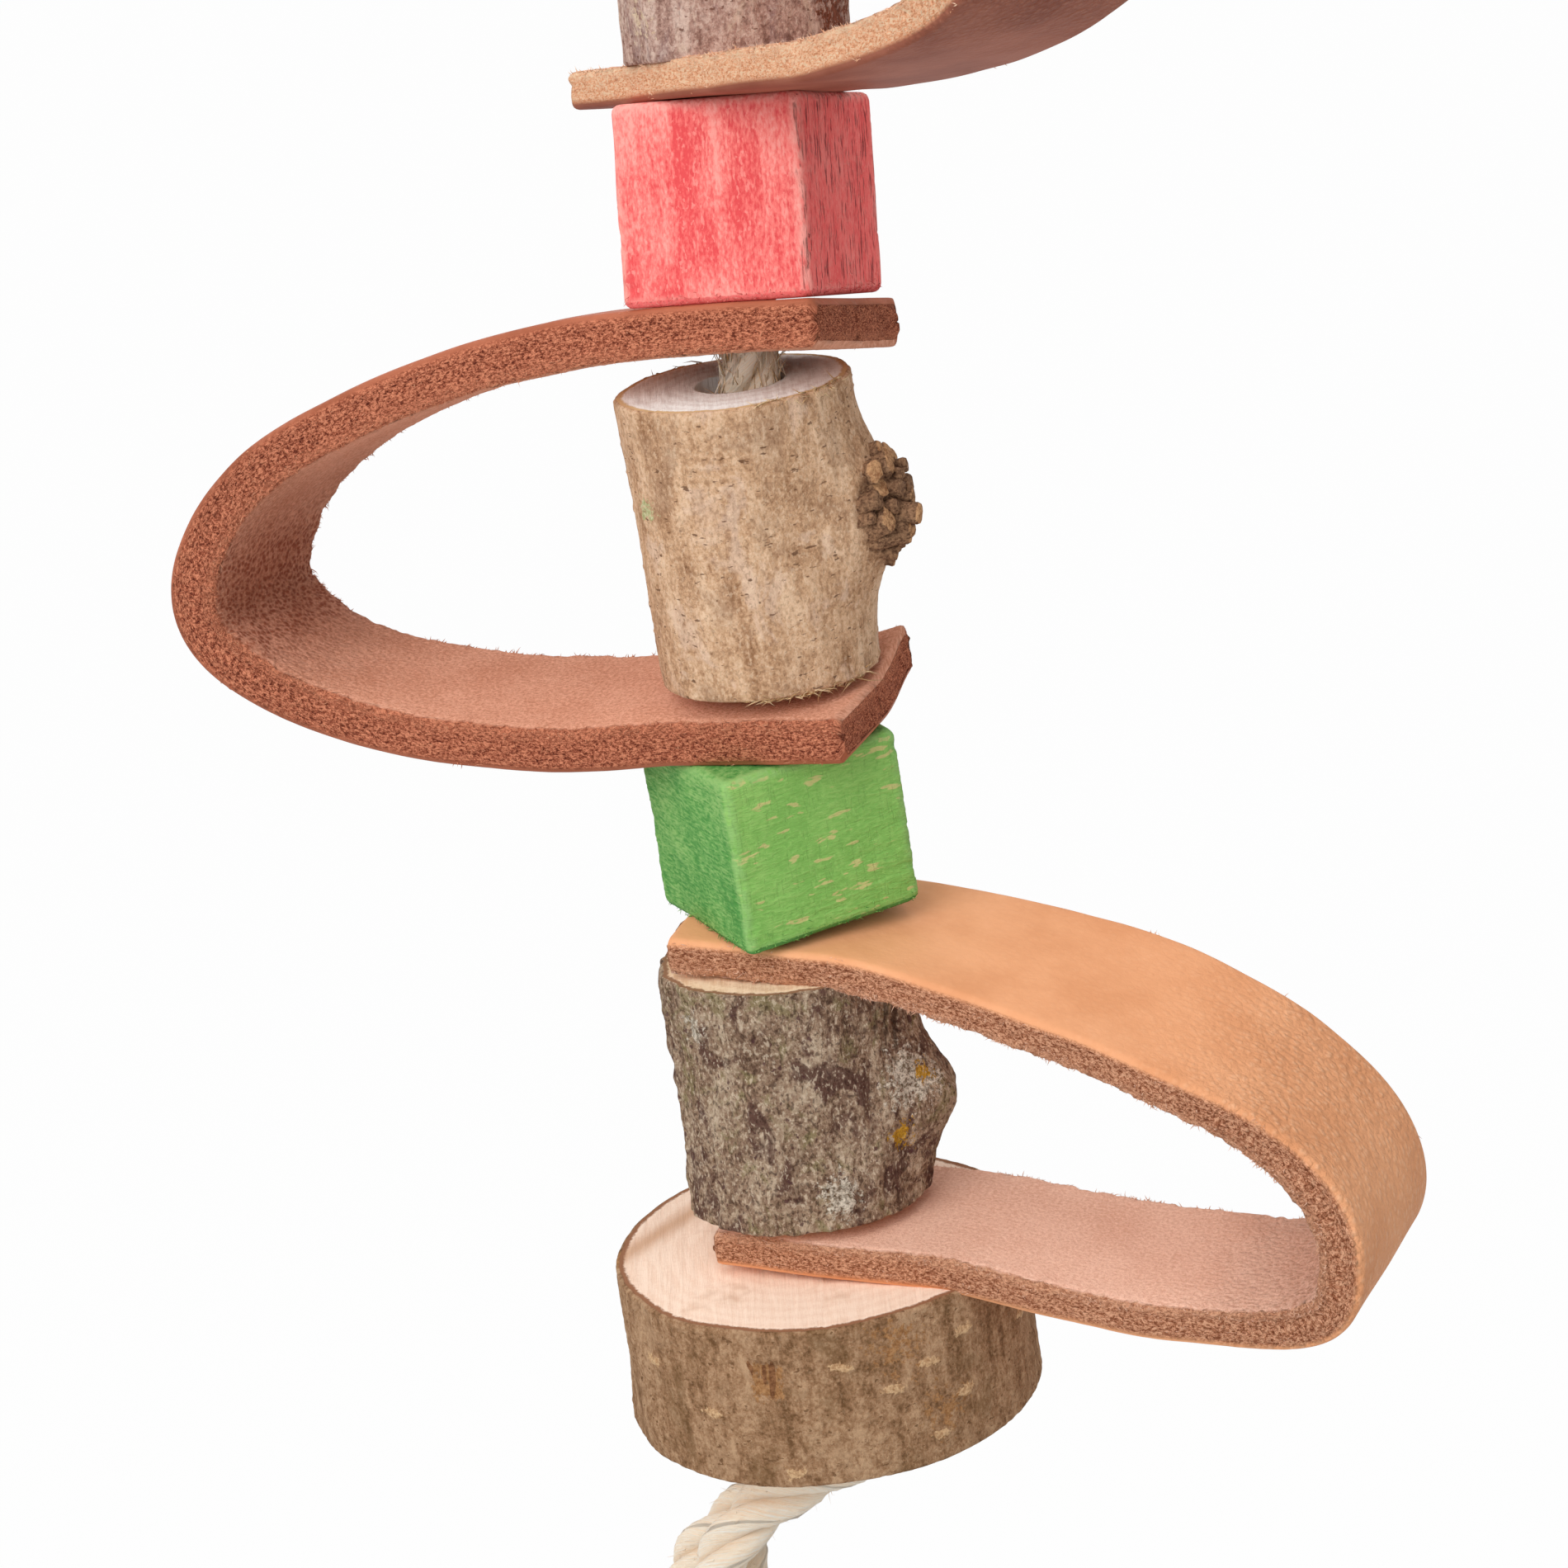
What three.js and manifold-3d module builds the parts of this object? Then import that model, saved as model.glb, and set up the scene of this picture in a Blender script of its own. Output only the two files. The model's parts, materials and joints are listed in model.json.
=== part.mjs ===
// A hanging chew toy for parrots. Three leather loops, three lengths of branch, two stained wooden cubes
// and a log slice are threaded on one sisal rope. The rope is knotted under the slice, and its top end is
// tied in an eye that hangs on a steel quick link.
// Millimetres, +Z up, +X to the right, +Y away from the viewer. The origin is the inside of the link's
// upper bow, the point where the toy hangs.
import * as THREE from "three";
import { RoundedBoxGeometry } from "three/addons/geometries/RoundedBoxGeometry.js";
import { mergeVertices } from "three/addons/utils/BufferGeometryUtils.js";
import Module from "manifold-3d";

const wasm = await Module();
wasm.setup();

// Rope and the holes that it runs through
const ROPE_DIAMETER = 6;
const BORE_DIAMETER = 9; // drilled through the wood
const PUNCH_DIAMETER = 10; // punched through the leather
const SEAT_GAP = 0.3; // between pieces that press on each other

// Quick link: an oval of round wire, open on one side, closed by a threaded sleeve
const LINK_WIRE = 4;
const LINK_INSIDE_LENGTH = 34;
const LINK_INSIDE_WIDTH = 12;
const LINK_OPENING = 6;
const SLEEVE_LENGTH = 10;
const SLEEVE_TRAVEL = 8; // up along the wire, off the opening
const SLEEVE_ACROSS_FLATS = 7;
const SLEEVE_CLEARANCE = 0.3;

// Rope eye round the link's lower bow, and the rope's end wrapped round its own standing part
const EYE_CLEARANCE = 0.5; // between the eye and the wire inside it
const EYE_DROP = 15; // from the wire to the first wrap
const WRAP_TURNS = 2.25;
const WRAP_PITCH = 6.9;
const WRAP_CLEARANCE = 0.9; // between the wraps and the rope inside them
const WRAP_END = 5; // what is left of the rope past the last wrap
const FREE_ROPE = 5; // bare rope between the wraps and the first leather
const BALANCE = 2; // how far the rope hangs behind the link's wire, which brings the weight under it

// Leather straps
const STRAP_WIDTH = 20.5;
const TOP_LEATHER = 3.8;
const MIDDLE_LEATHER = 4.5;
const LOWER_LEATHER = 4;
const TOP_REACH = 62; // from the rope to the middle of the leather at the bend
const MIDDLE_REACH = 61.2;
const LOWER_REACH = 62;
const LOOP_TURN = 8; // degrees that a loop turns on the rope, each way

// Stained cubes
const CUBE_SIDE = 19.8;
const CUBE_EDGE_RADIUS = 0.9;

// Branches and the log slice: length, then radius at the upper and the lower end
const TOP_BRANCH_LENGTH = 30;
const TOP_BRANCH_UPPER_RADIUS = 11.8;
const TOP_BRANCH_LOWER_RADIUS = 11.2;
const MIDDLE_BRANCH_LENGTH = 29;
const MIDDLE_BRANCH_UPPER_RADIUS = 11.8;
const MIDDLE_BRANCH_LOWER_RADIUS = 11;
const LOWER_BRANCH_LENGTH = 25;
const LOWER_BRANCH_UPPER_RADIUS = 12.9;
const LOWER_BRANCH_LOWER_RADIUS = 12.4;
const SLICE_LENGTH = 17.5;
const SLICE_RADIUS = 21.5;
const KNOB_TALLNESS = 5.5; // half height of the knobs on the middle and the lower branch
const MIDDLE_KNOB_RISE = 5.5; // out of the bark
const MIDDLE_KNOB_HEIGHT = 3.5; // over the branch's middle
const LOWER_KNOB_RISE = 3.8;
const LOWER_KNOB_HEIGHT = -2.5;

// Facets
const ROPE_SIDES = 8;
const ROPE_STEP = 2.6;
const ROUND_SIDES = 32;
const BORE_SIDES = 20;
const STRAP_STEPS = 44;

const UP = new THREE.Vector3(0, 0, 1);
const radians = THREE.MathUtils.degToRad;

// Closed solids

// The solid inside a closed geometry, with its shared corners merged.
function solidOf(geometry) {
  const bare = new THREE.BufferGeometry();
  bare.setAttribute("position", geometry.getAttribute("position"));
  if (geometry.index) bare.setIndex(geometry.index);
  const merged = mergeVertices(bare, 1e-4);
  const mesh = new wasm.Mesh({
    numProp: 3,
    vertProperties: new Float32Array(merged.getAttribute("position").array),
    triVerts: new Uint32Array(merged.index.array),
  });
  return new wasm.Manifold(mesh);
}

// The geometry of a solid.
function geometryOf(solid) {
  const mesh = solid.getMesh();
  const geometry = new THREE.BufferGeometry();
  geometry.setAttribute("position", new THREE.BufferAttribute(mesh.vertProperties, 3));
  geometry.setIndex(new THREE.BufferAttribute(mesh.triVerts, 1));
  geometry.computeVertexNormals();
  return geometry;
}

// A round hole through a geometry, along a direction.
function drilled(geometry, diameter, point, direction, length) {
  const drill = new THREE.CylinderGeometry(diameter / 2, diameter / 2, length, BORE_SIDES);
  const turn = new THREE.Quaternion().setFromUnitVectors(new THREE.Vector3(0, 1, 0), direction);
  drill.applyQuaternion(turn);
  drill.translate(point.x, point.y, point.z);
  return geometryOf(solidOf(geometry).subtract(solidOf(drill)));
}

// A closed skin over rings of points that all have the same count, with a flat fan on both ends.
function skinOver(rings) {
  const count = rings[0].length;
  const positions = [];
  const triangles = [];
  for (const ring of rings) {
    for (const point of ring) positions.push(point.x, point.y, point.z);
  }
  for (let j = 0; j + 1 < rings.length; j++) {
    for (let i = 0; i < count; i++) {
      const a = j * count + i;
      const b = j * count + ((i + 1) % count);
      triangles.push(a, b, b + count, a, b + count, a + count);
    }
  }
  const last = (rings.length - 1) * count;
  for (let i = 1; i + 1 < count; i++) {
    triangles.push(0, i + 1, i, last, last + i, last + i + 1);
  }
  const geometry = new THREE.BufferGeometry();
  geometry.setAttribute("position", new THREE.Float32BufferAttribute(positions, 3));
  geometry.setIndex(triangles);
  return geometry;
}

// A round bar along a curve.
function barAlong(curve, diameter, sides, steps) {
  const section = new THREE.Shape();
  section.absarc(0, 0, diameter / 2, 0, 2 * Math.PI);
  const outline = new THREE.Shape(section.getSpacedPoints(sides).slice(0, sides));
  return new THREE.ExtrudeGeometry(outline, { steps, bevelEnabled: false, extrudePath: curve });
}

// Threaded pieces, from the top down

// The direction of a piece's bore, from how far its top leans to the left and towards the viewer.
function boreDirection(lean, nod) {
  return new THREE.Vector3(-Math.tan(radians(lean)), -Math.tan(radians(nod)), 1).normalize();
}

// A piece of wood on the rope, its middle a little aside of the line that the toy hangs on, and behind it.
function bead(name, length, faceRadius, { lean, nod, spin = 0, aside = 0, behind = 0 }) {
  return { name, length, faceRadius, spin, aside, behind, up: boreDirection(lean, nod), turn: 0 };
}

// One layer of a leather loop on the rope. The slope is its rise away from the rope, and the cant is its
// rise away from the viewer.
function layer(loop, name, thickness) {
  const { slope, cant } = loop[name];
  const up = UP.clone();
  up.addScaledVector(loop.outward, -Math.tan(radians(slope)));
  up.addScaledVector(loop.across, -Math.tan(radians(cant)));
  return { name, loop, length: thickness, faceRadius: Infinity, up: up.normalize(), turn: loop.turn };
}

// A loop's two level directions: away from the rope, and across the leather, away from the viewer.
function loopDirections(heading) {
  const outward = new THREE.Vector3(Math.cos(radians(heading)), Math.sin(radians(heading)), 0);
  const side = Math.sign(outward.x);
  const across = new THREE.Vector3(-outward.y, outward.x, 0).multiplyScalar(side);
  return { outward, across, side };
}

// heading: which way the loop bulges, counted from +X. turn: how far it turns each way.
// For each layer: tail is the leather past the hole, straight is the leather that lies flat outwards of it,
// droop is how much more the leather falls from there, handle is how far it keeps that direction, and lift
// is the extra cant half way to the bend. crest: height of the bend's middle over the lower layer. twist: the
// bend's own cant. upperHandle and lowerHandle: how far the bend's middle runs upright.
const topLoop = {
  ...loopDirections(-60),
  name: "leather_loop_top",
  thickness: TOP_LEATHER,
  reach: TOP_REACH,
  turn: LOOP_TURN,
  upper: { slope: 4, cant: -0.7, lift: 0, tail: 12, straight: 12, droop: 0, handle: 24 },
  bend: { crest: 21, twist: 0, upperHandle: 13, lowerHandle: 12 },
  lower: { slope: 6.5, cant: -4.8, lift: 0, tail: 16.3, straight: 10, droop: 0, handle: 24 },
};
const middleLoop = {
  ...loopDirections(155),
  name: "leather_loop_middle",
  thickness: MIDDLE_LEATHER,
  reach: MIDDLE_REACH,
  turn: LOOP_TURN,
  upper: { slope: -3, cant: -8, lift: 0, tail: 12, straight: 10, droop: 0, handle: 18 },
  bend: { crest: 10.6, twist: 0, upperHandle: 17, lowerHandle: 9.6 },
  lower: { slope: -3.4, cant: 9, lift: 1, tail: 10, straight: 12, droop: 5.5, handle: 22 },
};
const lowerLoop = {
  ...loopDirections(-21.7),
  name: "leather_loop_lower",
  thickness: LOWER_LEATHER,
  reach: LOWER_REACH,
  turn: LOOP_TURN,
  upper: { slope: -0.5, cant: 7.5, lift: 7, tail: 9.8, straight: 12, droop: 6, handle: 22 },
  bend: { crest: 6.2, twist: -2, upperHandle: 15, lowerHandle: 14.5 },
  lower: { slope: 1, cant: 6.5, lift: 5, tail: 7.5, straight: 20.5, droop: 11.5, handle: 21 },
};

const cubeSwing = CUBE_SIDE / Math.SQRT2; // the circle that a cube's corners run on

const threaded = [
  layer(topLoop, "upper", TOP_LEATHER),
  bead("branch_top", TOP_BRANCH_LENGTH, TOP_BRANCH_UPPER_RADIUS, { lean: 0.4, nod: -6.4, behind: 0.6 }),
  layer(topLoop, "lower", TOP_LEATHER),
  bead("cube_red", CUBE_SIDE, cubeSwing, { lean: 0, nod: -8.6, spin: -22.9, behind: -1.2 }),
  layer(middleLoop, "upper", MIDDLE_LEATHER),
  bead("branch_middle", MIDDLE_BRANCH_LENGTH, MIDDLE_BRANCH_UPPER_RADIUS, {
    lean: 4,
    nod: 3,
    aside: -1,
    behind: -1.8,
  }),
  layer(middleLoop, "lower", MIDDLE_LEATHER),
  bead("cube_green", CUBE_SIDE, cubeSwing, { lean: 4.8, nod: 6.5, spin: 25.8, aside: -1.2, behind: 0.1 }),
  layer(lowerLoop, "upper", LOWER_LEATHER),
  bead("branch_lower", LOWER_BRANCH_LENGTH, LOWER_BRANCH_UPPER_RADIUS, {
    lean: 2.4,
    nod: 3.4,
    aside: -0.6,
    behind: 1.7,
  }),
  layer(lowerLoop, "lower", LOWER_LEATHER),
  bead("log_slice", SLICE_LENGTH, SLICE_RADIUS, { lean: 3.5, nod: 6, behind: 3 }),
];

// The widest angle between the faces of two neighbours while a loop turns on the rope.
function widestAngle(above, below) {
  const turn = Math.max(above.turn, below.turn);
  let widest = 0;
  for (const angle of [-turn, 0, turn]) {
    const turned = (above.loop ? above : below).up.clone().applyAxisAngle(UP, radians(angle));
    widest = Math.max(widest, turned.angleTo((above.loop ? below : above).up));
  }
  return widest;
}

// The gap along the rope that keeps two neighbours clear of each other while they turn.
function seatBetween(above, below) {
  const radius = Math.min(above.faceRadius, below.faceRadius);
  return SEAT_GAP + radius * Math.tan(widestAngle(above, below));
}

const linkWireZ = -LINK_INSIDE_LENGTH - LINK_WIRE / 2;
const wrapTopZ = linkWireZ - EYE_DROP;
const wrapBottomZ = wrapTopZ - WRAP_TURNS * WRAP_PITCH - ROPE_DIAMETER / 2;

// Places every piece's middle on the rope, from the top down.
function threadOn(pieces) {
  let z = wrapBottomZ - FREE_ROPE;
  pieces.forEach((piece, i) => {
    if (i > 0) z -= seatBetween(pieces[i - 1], piece);
    const height = piece.loop ? piece.length / piece.up.z : piece.length * piece.up.z;
    piece.middle = new THREE.Vector3(piece.aside, BALANCE + piece.behind, z - height / 2);
    z -= height;
  });
  for (const piece of pieces) {
    piece.top = piece.middle.clone().addScaledVector(piece.up, piece.length / 2);
    piece.bottom = piece.middle.clone().addScaledVector(piece.up, -piece.length / 2);
  }
  pieces.forEach((piece, i) => {
    if (!piece.loop) return;
    const above = pieces[i - 1]?.bottom ?? pieces[i + 1].top;
    const below = pieces[i + 1].top;
    piece.middle.x = (above.x + below.x) / 2;
    piece.middle.y = (above.y + below.y) / 2;
  });
}
threadOn(threaded);

const placeOf = (name) => threaded.find((piece) => piece.name === name);
const layerOf = (loop, name) => threaded.find((piece) => piece.loop === loop && piece.name === name);

// Leather loops

// The line along the middle of a loop's leather, from its upper end, round the bend, to its lower end.
function loopLine(loop) {
  const upper = layerOf(loop, "upper").middle;
  const lower = layerOf(loop, "lower").middle;
  const place = (out, height) => {
    const share = (height - lower.z) / (upper.z - lower.z);
    const point = new THREE.Vector3().lerpVectors(lower, upper, share);
    return point.addScaledVector(loop.outward, out);
  };
  const along = (hole, { slope }, out) => place(out, hole.z + out * Math.tan(radians(slope)));
  const past = (hole, { slope, droop, straight, handle }) => {
    const fall = handle * (Math.tan(radians(slope)) - Math.tan(radians(slope - droop)));
    return along(hole, { slope }, straight + handle).addScaledVector(UP, -fall);
  };
  const upperStraight = along(upper, loop.upper, loop.upper.straight);
  const lowerStraight = along(lower, loop.lower, loop.lower.straight);
  const crest = place(loop.reach, lower.z + loop.bend.crest);
  const crestUp = place(loop.reach, lower.z + loop.bend.crest + loop.bend.upperHandle);
  const crestDown = place(loop.reach, lower.z + loop.bend.crest - loop.bend.lowerHandle);
  const upperHandle = past(upper, loop.upper);
  const lowerHandle = past(lower, loop.lower);
  const line = new THREE.CurvePath();
  line.add(new THREE.LineCurve3(along(upper, loop.upper, -loop.upper.tail), upperStraight));
  line.add(new THREE.CubicBezierCurve3(upperStraight, upperHandle, crestUp, crest));
  line.add(new THREE.CubicBezierCurve3(crest, crestDown, lowerHandle, lowerStraight));
  line.add(new THREE.LineCurve3(lowerStraight, along(lower, loop.lower, -loop.lower.tail)));
  return line;
}

// The leather's cant at a share of its line: the upper layer's, then the bend's, then the lower layer's.
function cantAt({ upper, bend, lower }, share, lengths) {
  const [upperEnd, crest, lowerStart] = lengths;
  if (share < crest) {
    const along = THREE.MathUtils.smoothstep(share, upperEnd, crest);
    return THREE.MathUtils.lerp(upper.cant, bend.twist, along) + upper.lift * Math.sin(Math.PI * along);
  }
  const along = THREE.MathUtils.smoothstep(share, crest, lowerStart);
  return THREE.MathUtils.lerp(bend.twist, -lower.cant, along) - lower.lift * Math.sin(Math.PI * along);
}

// A strap of even width and thickness carried along the loop's line, with a hole in each layer.
function loopGeometry(loop) {
  const line = loopLine(loop);
  const lengths = line.getCurveLengths().map((length) => length / line.getLength());
  const rings = [];
  for (let k = 0; k <= STRAP_STEPS; k++) {
    const share = k / STRAP_STEPS;
    const middle = line.getPointAt(share);
    const along = line.getTangentAt(share);
    const outside = along.clone().cross(loop.across).multiplyScalar(loop.side).normalize();
    const cant = radians(cantAt(loop, share, lengths));
    const across = loop.across.clone().multiplyScalar(Math.cos(cant));
    across.addScaledVector(outside, Math.sin(cant)).multiplyScalar((loop.side * STRAP_WIDTH) / 2);
    outside.multiplyScalar(Math.cos(cant)).addScaledVector(loop.across, -Math.sin(cant));
    outside.multiplyScalar(loop.thickness / 2);
    rings.push([
      middle.clone().add(across).add(outside),
      middle.clone().sub(across).add(outside),
      middle.clone().sub(across).sub(outside),
      middle.clone().add(across).sub(outside),
    ]);
  }
  let geometry = skinOver(rings);
  for (const name of ["upper", "lower"]) {
    const { middle, up, length } = layerOf(loop, name);
    geometry = drilled(geometry, PUNCH_DIAMETER, middle, up, 3 * length);
  }
  return geometry;
}

// Wood

// A length of branch round its bore, which runs along Z through the local origin. The bark is a taper with
// a little ovality, set off from the bore, with one knob on its side.
function branchGeometry({ length, upper, lower, offCentre, oval, knob }) {
  const rows = knob ? 12 : 3;
  const rings = [];
  for (let j = 0; j <= rows; j++) {
    const share = j / rows;
    const z = (share - 0.5) * length;
    const ring = [];
    for (let i = 0; i < ROUND_SIDES; i++) {
      const angle = (2 * Math.PI * i) / ROUND_SIDES;
      let radius = THREE.MathUtils.lerp(lower, upper, share) + oval * Math.cos(2 * angle);
      if (knob) radius += knobRise(knob, angle, z);
      ring.push(new THREE.Vector3(offCentre + radius * Math.cos(angle), radius * Math.sin(angle), z));
    }
    rings.push(ring);
  }
  return drilled(skinOver(rings), BORE_DIAMETER, new THREE.Vector3(), UP, 2 * length);
}

// How far a knob stands out of the bark at an angle and a height.
function knobRise({ facing, height, rise, breadth }, angle, z) {
  const turn = Math.atan2(Math.sin(angle - radians(facing)), Math.cos(angle - radians(facing)));
  const across = turn / radians(breadth);
  const up = (z - height) / KNOB_TALLNESS;
  return rise * Math.exp(-across * across - up * up);
}

function cubeGeometry() {
  const cube = new RoundedBoxGeometry(CUBE_SIDE, CUBE_SIDE, CUBE_SIDE, 2, CUBE_EDGE_RADIUS);
  return drilled(cube, BORE_DIAMETER, new THREE.Vector3(), UP, 2 * CUBE_SIDE);
}

// Rope

// The stopper knot and the rope's end under the slice: an overhand knot, from its end up to the bore.
const KNOT_POINTS = [
  [-31, -2.6, -47],
  [-30.4, -2.4, -40.5],
  [-28, -2, -34.5],
  [-23, -1.6, -31],
  [-17, -1, -29.8],
  [-12.2, 2, -29],
  [-10.8, 7.4, -26.6],
  [-11.4, 10.4, -21.5],
  [-8.2, 10, -15.5],
  [-3.4, 9.4, -10],
  [2.6, 8, -6.6],
  [7, 4, -4.8],
  [7.2, -2, -4.4],
  [2.6, -6, -4.8],
  [-4, -7.2, -7.2],
  [-9.4, -6.8, -10.8],
  [-13, -6.6, -15.6],
  [-15.8, -7, -21.5],
  [-18.6, -7.8, -28],
  [-18.8, -7.2, -34],
  [-18.6, -3.4, -38.8],
  [-18.5, 2, -38.8],
  [-18.6, 5.8, -34],
  [-18.4, 6, -27.5],
  [-16.4, 4.6, -21],
  [-12, 3.6, -15.8],
  [-6.6, 2.8, -12],
  [-2.4, 1.8, -7.6],
];

// The rope's whole line: its lower end, the stopper knot, the bores, the standing part, the eye round the
// link's wire, and the wraps.
function ropeLine() {
  const slice = placeOf("log_slice");
  const points = KNOT_POINTS.map(([x, y, z]) => new THREE.Vector3(x, y, z).add(slice.bottom));
  points.push(slice.bottom);
  for (const piece of [...threaded].reverse()) points.push(piece.middle);
  const wrapRadius = ROPE_DIAMETER + WRAP_CLEARANCE;
  const eyeRadius = LINK_WIRE / 2 + EYE_CLEARANCE + ROPE_DIAMETER / 2;
  const at = (y, z) => new THREE.Vector3(0, y, z);
  points.push(at(BALANCE, wrapBottomZ), at(BALANCE, (wrapBottomZ + wrapTopZ) / 2), at(BALANCE, wrapTopZ));
  for (const share of [0.35, 0.7]) {
    const ease = THREE.MathUtils.smoothstep(share, 0, 1);
    points.push(at(THREE.MathUtils.lerp(BALANCE, -eyeRadius, ease), wrapTopZ + share * EYE_DROP));
  }
  for (let angle = 180; angle >= 0; angle -= 30) {
    const turn = radians(angle);
    points.push(at(eyeRadius * Math.cos(turn), linkWireZ + eyeRadius * Math.sin(turn)));
  }
  for (let turn = 0; turn <= WRAP_TURNS; turn += 1 / 12) {
    const angle = 2 * Math.PI * (turn + 0.25);
    const z = wrapTopZ - turn * WRAP_PITCH;
    const y = BALANCE + wrapRadius * Math.sin(angle);
    points.push(new THREE.Vector3(wrapRadius * Math.cos(angle), y, z));
  }
  const last = points.at(-1);
  const heading = last.clone().sub(points.at(-2)).normalize();
  points.push(last.clone().addScaledVector(heading, WRAP_END));
  return new THREE.CatmullRomCurve3(points, false, "centripetal");
}

// The least gap between stretches of rope that lie more than three diameters apart along it.
function leastGap(line) {
  const count = Math.round(line.getLength());
  const points = line.getSpacedPoints(count);
  const apart = Math.ceil(3 * ROPE_DIAMETER);
  let least = Infinity;
  for (let i = 0; i < points.length; i++) {
    for (let j = i + apart; j < points.length; j++) {
      least = Math.min(least, points[i].distanceTo(points[j]));
    }
  }
  return least - ROPE_DIAMETER;
}

function ropeGeometry() {
  const line = ropeLine();
  const length = line.getLength();
  console.log(`rope length ${length.toFixed(0)} mm, least gap to itself ${leastGap(line).toFixed(2)} mm`);
  return barAlong(line, ROPE_DIAMETER, ROPE_SIDES, Math.round(length / ROPE_STEP));
}

// Quick link

const linkSideX = (LINK_INSIDE_WIDTH + LINK_WIRE) / 2;
const linkUpperBowZ = -LINK_INSIDE_WIDTH / 2;
const linkLowerBowZ = -LINK_INSIDE_LENGTH + LINK_INSIDE_WIDTH / 2;
const linkOpeningZ = linkUpperBowZ - SLEEVE_TRAVEL - SLEEVE_LENGTH / 2;

function linkGeometry() {
  const line = new THREE.CurvePath();
  const at = (x, z) => new THREE.Vector3(x, 0, z);
  const bow = (z, from) => {
    const points = [];
    for (let angle = 0; angle <= 180; angle += 15) {
      const turn = radians(from + angle);
      points.push(at(linkSideX * Math.cos(turn), z + linkSideX * Math.sin(turn)));
    }
    return points;
  };
  const points = [
    at(linkSideX, linkOpeningZ + LINK_OPENING / 2),
    ...bow(linkUpperBowZ, 0),
    ...bow(linkLowerBowZ, 180),
    at(linkSideX, linkOpeningZ - LINK_OPENING / 2),
  ];
  for (let i = 0; i + 1 < points.length; i++) line.add(new THREE.LineCurve3(points[i], points[i + 1]));
  return barAlong(line, LINK_WIRE, 12, 72);
}

function sleeveGeometry() {
  const sleeve = new THREE.Shape();
  const corner = SLEEVE_ACROSS_FLATS / Math.sqrt(3);
  for (let i = 0; i < 6; i++) {
    const angle = radians(60 * i);
    sleeve[i ? "lineTo" : "moveTo"](corner * Math.cos(angle), corner * Math.sin(angle));
  }
  const bore = new THREE.Path();
  bore.absarc(0, 0, LINK_WIRE / 2 + SLEEVE_CLEARANCE, 0, 2 * Math.PI, true);
  sleeve.holes.push(bore);
  const geometry = new THREE.ExtrudeGeometry(sleeve, {
    depth: SLEEVE_LENGTH,
    bevelEnabled: false,
    curveSegments: 10,
  });
  geometry.translate(0, 0, -SLEEVE_LENGTH / 2);
  return geometry;
}

// Assembly

const finish = (color, roughness, metalness = 0) =>
  new THREE.MeshStandardMaterial({ color, roughness, metalness });
const steel = finish("#c9ccd0", 0.25, 1);
const toy = new THREE.Group();

function add(name, geometry, material) {
  const mesh = new THREE.Mesh(geometry, material);
  mesh.name = name;
  toy.add(mesh);
  return mesh;
}

// Adds a leather loop, which turns on the line through its two holes.
function addLoop(loop, color, roughness) {
  const mesh = add(loop.name, loopGeometry(loop), finish(color, roughness));
  const upper = layerOf(loop, "upper").middle;
  const lower = layerOf(loop, "lower").middle;
  mesh.userData.turnsAt = upper.clone().add(lower).divideScalar(2);
  mesh.userData.turnsAbout = upper.clone().sub(lower).normalize();
}

// Sets a piece of wood on its place on the rope, where it turns on its bore.
function thread(name, geometry, material) {
  const { middle, up, spin } = placeOf(name);
  const mesh = add(name, geometry, material);
  mesh.position.copy(middle);
  mesh.quaternion.setFromUnitVectors(UP, up);
  mesh.rotateZ(radians(spin));
  mesh.userData.turnsAt = middle;
  mesh.userData.turnsAbout = up;
}

add("quick_link", linkGeometry(), steel);
add("quick_link_sleeve", sleeveGeometry(), steel).position.set(linkSideX, 0, linkOpeningZ);
add("rope", ropeGeometry(), finish("#e9dcc4", 0.9));
addLoop(topLoop, "#c98a63", 0.6);
addLoop(middleLoop, "#9c543a", 0.75);
addLoop(lowerLoop, "#d69a68", 0.55);
thread(
  "branch_top",
  branchGeometry({
    length: TOP_BRANCH_LENGTH,
    upper: TOP_BRANCH_UPPER_RADIUS,
    lower: TOP_BRANCH_LOWER_RADIUS,
    offCentre: -0.5,
    oval: 0.2,
  }),
  finish("#8f7d6c", 0.9),
);
thread("cube_red", cubeGeometry(), finish("#d9545c", 0.7));
thread(
  "branch_middle",
  branchGeometry({
    length: MIDDLE_BRANCH_LENGTH,
    upper: MIDDLE_BRANCH_UPPER_RADIUS,
    lower: MIDDLE_BRANCH_LOWER_RADIUS,
    offCentre: -1,
    oval: 0.1,
    knob: { facing: -15, height: MIDDLE_KNOB_HEIGHT, rise: MIDDLE_KNOB_RISE, breadth: 24 },
  }),
  finish("#b09268", 0.85),
);
thread("cube_green", cubeGeometry(), finish("#4faa4f", 0.7));
thread(
  "branch_lower",
  branchGeometry({
    length: LOWER_BRANCH_LENGTH,
    upper: LOWER_BRANCH_UPPER_RADIUS,
    lower: LOWER_BRANCH_LOWER_RADIUS,
    offCentre: -0.5,
    oval: 0.1,
    knob: { facing: -12, height: LOWER_KNOB_HEIGHT, rise: LOWER_KNOB_RISE, breadth: 28 },
  }),
  finish("#6f675a", 0.95),
);
thread(
  "log_slice",
  branchGeometry({
    length: SLICE_LENGTH,
    upper: SLICE_RADIUS,
    lower: SLICE_RADIUS,
    offCentre: 0.5,
    oval: 0.4,
  }),
  finish("#9a7f5c", 0.85),
);

export default toy;
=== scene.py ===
"""A hanging chew toy for parrots: three leather loops, three branches, two stained cubes and a log slice on
one knotted rope, under a steel quick link. Lengths are in millimetres until a mesh is made."""

import itertools
import json
import math

import bmesh
import bpy
import numpy as np
from mathutils import Matrix, Vector

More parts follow.
